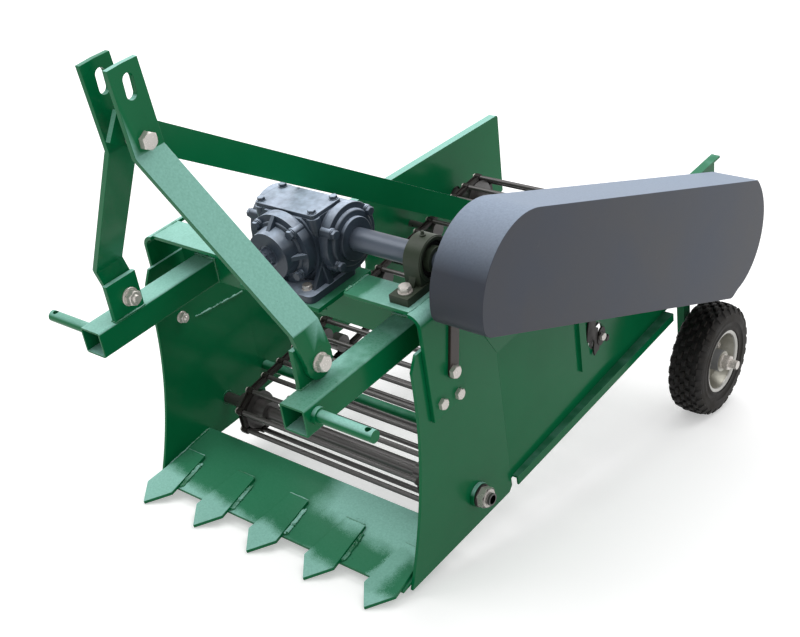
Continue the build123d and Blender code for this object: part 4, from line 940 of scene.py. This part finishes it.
def seat_beads():
    """The same of the beads at the beam's notch and along the gearbox plate's ends."""
    crest = BEAM_HIGH.z - 1
    beads = [([(NOTCH_RIGHT, BEAM_LOW.y + 2, crest), (NOTCH_RIGHT, BEAM_REAR, crest)], 2.8, 11, 0.8)]
    low, high = node_box("gearbox_plate")
    for y in (BEAM_LOW.y - 1.0, BEAM_REAR + 1.0):
        beads.append(([(low.x, y, low.z - 1), (high.x, y, low.z - 1)], 3.0, y, 0.0))
    return beads


def weld_beads():
    bm = bmesh.new()
    for path, radius, seed, lumps in (*tooth_beads(), *side_beads(RIGHT), *side_beads(LEFT), *seat_beads()):
        add_weld(bm, path, radius, seed, lumps)
    lay_piece("weld_beads", bm, "green_paint", smooth=60.0, shown="weld_green_paint")


# ---- port hook ----
PORT = (742.0, 141.0)  # along, up of the port in the right panel
HOOK_X = 321.5  # inner face of the hook that hangs over the port
HOOK_T = 3.0
HOOK_STRAP = (  # along, up from the port's middle
    (-28, 60), (-2, 46), (-8, 28), (3, 19), (-2, 3), (4, -22), (1, -31), (-17, -37), (-19, -20), (-15, -4),
    (-20, 6), (-30, 0), (-41, 12), (-38, 26),
)
RING_AT = (PORT[0] + 11.0, PORT[1] - 5.5)
RING_INNER = (5.0, 7.0)  # half its width and height
RING_OUTER = (13.5, 20.0)
RING_LEAN = radians(22)
RING_SIDES = 28
KNOB_AT = (PORT[0] + 29.0, PORT[1] - 20.0)


def ring_point(turn, size):
    """A point on one of the leaning ring's edges."""
    wide, tall = size[0] * cos(turn), size[1] * sin(turn)
    return (RING_AT[0] + wide * cos(RING_LEAN) + tall * sin(RING_LEAN),
            RING_AT[1] + tall * cos(RING_LEAN) - wide * sin(RING_LEAN))


def port_hook():
    """Dark hooked strap that hangs from the guard over the right panel's port, with its ring."""
    bm = bmesh.new()
    add_plate(bm, [(PORT[0] + a, PORT[1] + u) for a, u in HOOK_STRAP], HOOK_X, HOOK_X + HOOK_T)
    for k in range(RING_SIDES):
        here, there = [2 * pi * (k + step) / RING_SIDES for step in (0, 1)]
        link = [ring_point(here, RING_INNER), ring_point(there, RING_INNER), ring_point(there, RING_OUTER),
                ring_point(here, RING_OUTER)]
        add_plate(bm, link, HOOK_X + 0.5, HOOK_X + HOOK_T + 1.5)
    add_turned(bm, (HOOK_X + HOOK_T, *KNOB_AT), "x", [(7.5, -HOOK_T), (7.5, 3.0), (5.0, 5.0)], 20)
    lay_piece("port_hook", bm, "chain_steel")


# ---- tyres and wheels ----
TREAD_ROWS = (-25.0, -12.5, 0.0, 12.5, 25.0)  # across from the tyre's middle
ROW_W = 9.0
OUTER_ROW_DROP = 3.0
BLOCKS_ROUND = 28
BLOCK_H = 5.6
BLOCK_HALF = 7.4  # half a block's length round the tyre
BLOCK_SKEW = 0.012
LUG_HALF = 7.6


def wheel_point(centre, across, radius, turn):
    return Vector((centre.x + across, centre.y + radius * cos(turn), centre.z + radius * sin(turn)))


def tyre_piece(label):
    """Block-tread tyre with its ribbed sidewall; the tread's blocks stand in staggered rows."""
    low, high = node_box("tyre_" + label)
    centre = (low + high) / 2
    radius = (high.y - low.y) / 2
    half = (high.x - low.x) / 2
    carcass = radius - BLOCK_H
    bm = bmesh.new()
    flank = [(71.4, 31.0), (72.4, 36.0), (73.2, 38.0), (75.0, 38.8), (79.0, 38.3), (80.5, 37.4), (84.0, 37.6),
             (91.0, 39.0), (92.0, 40.2), (95.0, 40.6), (96.5, 39.9), (103.0, half - 0.6), (110.0, half - 1.5),
             (116.0, half - 4.0), (121.0, half - 8.5), (carcass - 1.0, half - 15.0)]
    crown = [(carcass, x) for x in (18.0, 6.0, -6.0, -18.0)]
    inside = [(71.2, -28.0), (71.2, 28.0)]
    add_turned(bm, centre, "x", flank + crown + laid(flank[::-1], -1) + inside, 96, closed=True)
    for row, x in enumerate(TREAD_ROWS):
        drop = 0.0 if abs(x) < 20 else OUTER_ROW_DROP
        for k in range(BLOCKS_ROUND):
            a = 2 * pi * (k + 0.5 * (row % 2)) / BLOCKS_ROUND
            add_tread_block(bm, centre, a, x, radius - drop, carcass - drop - 3.0)
    for k in range(BLOCKS_ROUND):
        for end in BOTH:
            a = 2 * pi * (k + 0.5 * (end > 0)) / BLOCKS_ROUND
            add_shoulder_lug(bm, centre, a, end, half, radius)
    lay_piece("tyre_" + label + "_moulded", bm, "tyre_rubber", "wheel_" + label, ("tyre_" + label,),
              smooth=40.0)


def add_tread_block(bm, centre, turn, x, top, foot):
    """One tread block: slightly skewed, with its edges drawn in towards the top."""
    reach = BLOCK_HALF / top
    skew = BLOCK_SKEW if x > 0 else -BLOCK_SKEW
    rings = []
    for radius, share in ((foot, 1.12), (top - 0.8, 1.0), (top, 0.84)):
        ring = []
        for sx, sa in ((-1, -1), (1, -1), (1, 1), (-1, 1)):
            a = turn + sa * reach * share + sx * skew
            ring.append(wheel_point(centre, x + sx * ROW_W / 2 * share, radius, a))
        rings.append(ring)
    add_rings(bm, rings, cap_start=False)


def add_shoulder_lug(bm, centre, turn, end, half, radius):
    """Lug that runs from the tread's edge down over the tyre's shoulder."""
    reach = LUG_HALF / radius
    rings = []
    for across, r in ((half - 9.5, radius - 3.4), (half - 4.5, radius - 9.0), (half - 1.2, radius - 17.0)):
        ring = []
        for sa, dip in ((-1.15, 5.0), (-0.85, 0.0), (0.85, 0.0), (1.15, 5.0)):
            ring.append(wheel_point(centre, end * (across - dip * 0.35), r - dip, turn + sa * reach))
        rings.append(ring)
    add_rings(bm, rings)


WHEEL_BOLTS = 5
WHEEL_BOLT_R = 41
WHEEL_BOLT_TURN = 0.3
DISC_HALF_T = 1.5


def wheel_hardware(label, side):
    """Bolts of the wheel's disc, nuts behind them."""
    centre = middle("rim_" + label)
    bm = bmesh.new()
    for k in range(WHEEL_BOLTS):
        a = 2 * pi * k / WHEEL_BOLTS + WHEEL_BOLT_TURN
        y, z = centre.y + WHEEL_BOLT_R * cos(a), centre.z + WHEEL_BOLT_R * sin(a)
        add_bolt(bm, (centre.x + side * DISC_HALF_T, y, z), "x", side, M8)
        add_nut(bm, (centre.x - side * DISC_HALF_T, y, z), "x", -side, M8, 3.0, washer=None)
    lay_piece("wheel_bolts_" + label, bm, "zinc", "wheel_" + label)


# Turned parts on both sides of each wheel: name, sides, finish shown, and (radius, across) from the middle.
WHEEL_TURNED = (
    ("rim_lips_", 96, "rim_steel", (
        (64.0, 31.5), (64.8, 34.4), (67.5, 36.2), (70.5, 37.0), (72.6, 36.4), (72.8, 34.6), (70.0, 33.4),
        (66.5, 31.0))),
    ("hub_sleeves_", 56, "hub_steel", (
        (23.9, 1.5), (28.0, 1.6), (26.0, 3.0), (24.7, 5.5), (24.5, 33.8), (23.9, 34.6))),
)


def wheel_turned(label):
    """Rolled lips of the rim, and the cast sleeves of the hub on both sides of its disc."""
    for name, sides, shown, profile in WHEEL_TURNED:
        bm = bmesh.new()
        for end in BOTH:
            add_turned(bm, middle("rim_" + label), "x", laid(profile, end), sides, closed=True)
        lay_piece(name + label, bm, "rim_steel", "wheel_" + label, shown=shown)


def add_axle_nut(bm, centre, side, nut, thread):
    """A nut and the axle's end beyond it: (place, spanner size, height) and (place, diameter, length)."""
    place, across, height = nut
    add_hex(bm, (side * place, centre.y, centre.z), "x", side, across, height)
    place, diameter, length = thread
    add_thread(bm, (side * place, centre.y, centre.z), "x", side, diameter, length, AXLE_PITCH, 28)


def axle_ends():
    """Chamfered nuts, threads and washers on the wheel axles."""
    bm = bmesh.new()
    axle = middle("wheel_axles")
    seat = highest("wheel_axles").x - 32.0
    for side in BOTH:
        add_axle_nut(bm, axle, side, (seat - 0.3, 30.8, 14.6), (seat + 13.0, 20.6, 18.6))
        add_washer(bm, (side * (seat - 3.3), axle.y, axle.z), "x", side, 10.0, 17.6, 3.2)
    lay_piece("axle_ends", bm, "zinc")


def idler_fasteners():
    """Nuts and threads on the front idlers' axle, and the dark washers under them."""
    idler = middle("front_idlers")
    tip = highest("front_idlers").x
    boss = highest("axle_bosses").x
    bm = bmesh.new()
    for side in BOTH:
        add_axle_nut(bm, idler, side, (boss + 3.0, 36.8, 15.6), (boss + 17.0, 24.6, tip - boss - 17.0))
    lay_piece("idler_nuts", bm, "zinc")
    bm = bmesh.new()
    for side in BOTH:
        add_washer(bm, (side * boss, idler.y, idler.z), "x", side, 12.0, 22.5, 3.4)
    lay_piece("idler_washers", bm, "chain_steel")


# ---- rod web ----
IDLER_R = 50.0
DRIVER_R = 57.0
ROD_COUNT = 40
ROD_R = 5.25
HOOK_R = 8.0
HOOK_STEPS = 9
LINK_HALF_T = 3.4 / 2
CHEEK_HALF_H = 4.2
CHEEK_START = 7.0
CHEEK_W = 3.2


def web_places():
    """Where each rod lies, along and up, on the closed web round its idler and its driver."""
    idler = middle("front_idlers")
    driver = middle("drive_shaft")
    dy, dz = driver.y - idler.y, driver.z - idler.z
    span = hypot(dy, dz)
    tilt = atan2(dz, dy)
    spread = atan2(DRIVER_R - IDLER_R, sqrt(span ** 2 - (DRIVER_R - IDLER_R) ** 2))
    run = span * cos(spread)
    rear = DRIVER_R * (pi + 2 * spread)
    front = IDLER_R * (pi - 2 * spread)
    upper, lower = tilt + pi / 2 + spread, tilt - pi / 2 - spread
    step = (2 * run + rear + front) / ROD_COUNT
    places = []
    for k in range(ROD_COUNT):
        s = k * step
        if s < run:
            centre, angle, ahead, radius = idler, upper, s, IDLER_R
        elif s < run + rear:
            centre, angle, ahead, radius = driver, upper - (s - run) / DRIVER_R, 0.0, DRIVER_R
        elif s < 2 * run + rear:
            centre, angle, ahead, radius = driver, lower, s - run - rear, DRIVER_R
        else:
            centre, angle, ahead, radius = idler, lower - (s - 2 * run - rear) / IDLER_R, 0.0, IDLER_R
        places.append(Vector((centre.y + radius * cos(angle) + ahead * sin(angle),
                              centre.z + radius * sin(angle) - ahead * cos(angle))))
    return places


def link_strip(here, there, after, before, rise):
    """Corners of a straight strip from a little after one rod to a little before the next."""
    return [here + after + rise, there - before + rise, there - before - rise, here + after - rise]


def chain_links(label):
    """Hook links: each lies flat from its rod and curls over the next one."""
    low, high = node_box("web_chain_" + label)
    places = web_places()
    bm = bmesh.new()
    for k, here in enumerate(places):
        there = places[(k + 1) % ROD_COUNT]
        way = (there - here).normalized()
        out = Vector((-way.y, way.x))
        outer, inner = [], []
        for i in range(HOOK_STEPS):
            a = radians(200 - 250 * i / (HOOK_STEPS - 1))
            ray = way * cos(a) + out * sin(a)
            outer.append(there + ray * HOOK_R)
            inner.append(there + ray * (HOOK_R - 2.6))
        shank = link_strip(here, there, way * (HOOK_R - 2.2), way * (HOOK_R - 2.0), out * LINK_HALF_T)
        add_plate(bm, shank, low.x + 0.5, high.x - 0.5)
        add_plate(bm, outer + inner[::-1], low.x, high.x)
        cheek = link_strip(here, there, way * CHEEK_START, way * CHEEK_START, out * CHEEK_HALF_H)
        for x0, x1 in ((low.x, low.x + CHEEK_W), (high.x - CHEEK_W, high.x)):
            add_plate(bm, cheek, x0, x1)
    lay_piece("chain_links_" + label, bm, "chain_steel", stands_for=("web_chain_" + label,), smooth=50.0)


def rod_ends():
    """Upset heads on the rods' ends, worn bright by the side plates."""
    bm = bmesh.new()
    edge = highest("web_rods").x
    for at in web_places():
        for side in BOTH:
            end = side * (edge - 0.2)
            head = [(ROD_R, end - side * 4.0), (ROD_R + 1.2, end - side * 3.0),
                    (ROD_R + 1.2, end - side * 0.8), (ROD_R + 0.3, end)]
            add_turned(bm, (0, *at), "x", head, 16)
    lay_piece("rod_ends", bm, "zinc")


# ---- making ----
bracket_bolts()
mast_fasteners()
port_hook()
gearbox_details()
gearbox_bolts()
foot_bolts()
bearing_details()
bearing_insert()
drive_splines()
weld_beads()
for label, side in (("right", RIGHT), ("left", LEFT)):
    tyre_piece(label)
    wheel_hardware(label, side)
    wheel_turned(label)
    chain_links(label)
axle_ends()
idler_fasteners()
rod_ends()


# ---- floor, light and camera ----
FLOOR_REACH = 14.0  # metres
FLOOR_NEAR, FLOOR_FAR = 1.4, 5.0  # metres from the machine over which the floor pales
FLOOR_GLOW, FLOOR_PALE = 0.4, 0.9
AIR_LIGHT = 0.62  # what the white surroundings shed on the machine


def seen_rays(tree):
    """Marks the rays by which a thing is looked at, straight or mirrored, rather than lit."""
    rays = node(tree, "LightPath").outputs
    mirrored = larger(rays["Is Glossy Ray"], rays["Is Transmission Ray"])
    return larger(rays["Is Camera Ray"], mirrored)


def floor_material():
    """Plain pale floor that keeps the machine's shadow and goes white away from it."""
    material, tree = blank_material("studio_floor")
    matt = node(tree, "BsdfDiffuse", {"Color": (0.8, 0.8, 0.8, 1)})
    away = node(tree, "VectorMath", {0: own_place(tree)}, operation="LENGTH").outputs["Value"]
    lift = between(away, FLOOR_NEAR, FLOOR_FAR, FLOOR_GLOW, FLOOR_PALE)
    glow = node(tree, "Emission", {"Strength": times(seen_rays(tree), lift)})
    close_tree(tree, node(tree, "AddShader", {0: matt.outputs[0], 1: glow.outputs[0]}))
    return material


def studio():
    """The floor under the machine and the white air around it."""
    ground = cad_box[0].z
    corners = [(x * FLOOR_REACH, y * FLOOR_REACH, ground) for x, y in ((-1, -1), (1, -1), (1, 1), (-1, 1))]
    mesh = bpy.data.meshes.new("studio_floor")
    mesh.from_pydata(corners, [], [(0, 1, 2, 3)])
    mesh.materials.append(floor_material())
    link_object("studio_floor", mesh)

    world = bpy.data.worlds.new("studio_air")
    bpy.context.scene.world = world
    world.use_nodes = True
    tree = world.node_tree
    tree.nodes.clear()
    strength = between(seen_rays(tree), 0.0, 1.0, AIR_LIGHT, 1.0)
    close_tree(tree, node(tree, "Background", {"Color": (1, 1, 1, 1), "Strength": strength}), "OutputWorld")


def aim(made, place, way):
    made.location = place
    made.rotation_mode = "QUATERNION"
    made.rotation_quaternion = way.to_track_quat("-Z", "Y")


LAMPS = (  # name, place, power in watts, width and depth in metres
    ("key_softbox", (-1.6, -1.2, 3.4), 46.0, 2.4, 2.4),
    ("top_softbox", (0.4, 1.2, 3.6), 60.0, 3.2, 2.2),
)


def lamps():
    """Softboxes that look at the machine's middle."""
    centre = (cad_box[0] + cad_box[1]) / 2
    for name, place, power, width, depth in LAMPS:
        light = bpy.data.lights.new(name, "AREA")
        light.energy = power
        light.shape = "RECTANGLE"
        light.size = width
        light.size_y = depth
        aim(link_object(name, light), place, centre - Vector(place))


CAMERA_AT = (1.5236, -1.9319, 1.3216)
CAMERA_AZIMUTH = 38.81  # degrees
CAMERA_ELEVATION = 22.2
CAMERA_LENS = 58.22  # mm
CAMERA_SENSOR = 36.0


def camera():
    data = bpy.data.cameras.new("view")
    data.lens = CAMERA_LENS
    data.sensor_width = CAMERA_SENSOR
    data.sensor_fit = "HORIZONTAL"
    data.clip_start, data.clip_end = 0.05, 60.0
    a, e = radians(CAMERA_AZIMUTH), radians(CAMERA_ELEVATION)
    made = link_object("view", data)
    aim(made, CAMERA_AT, Vector((-sin(a) * cos(e), cos(a) * cos(e), -sin(e))))
    bpy.context.scene.camera = made


studio()
lamps()
camera()
bpy.context.scene.view_settings.view_transform = "Standard"
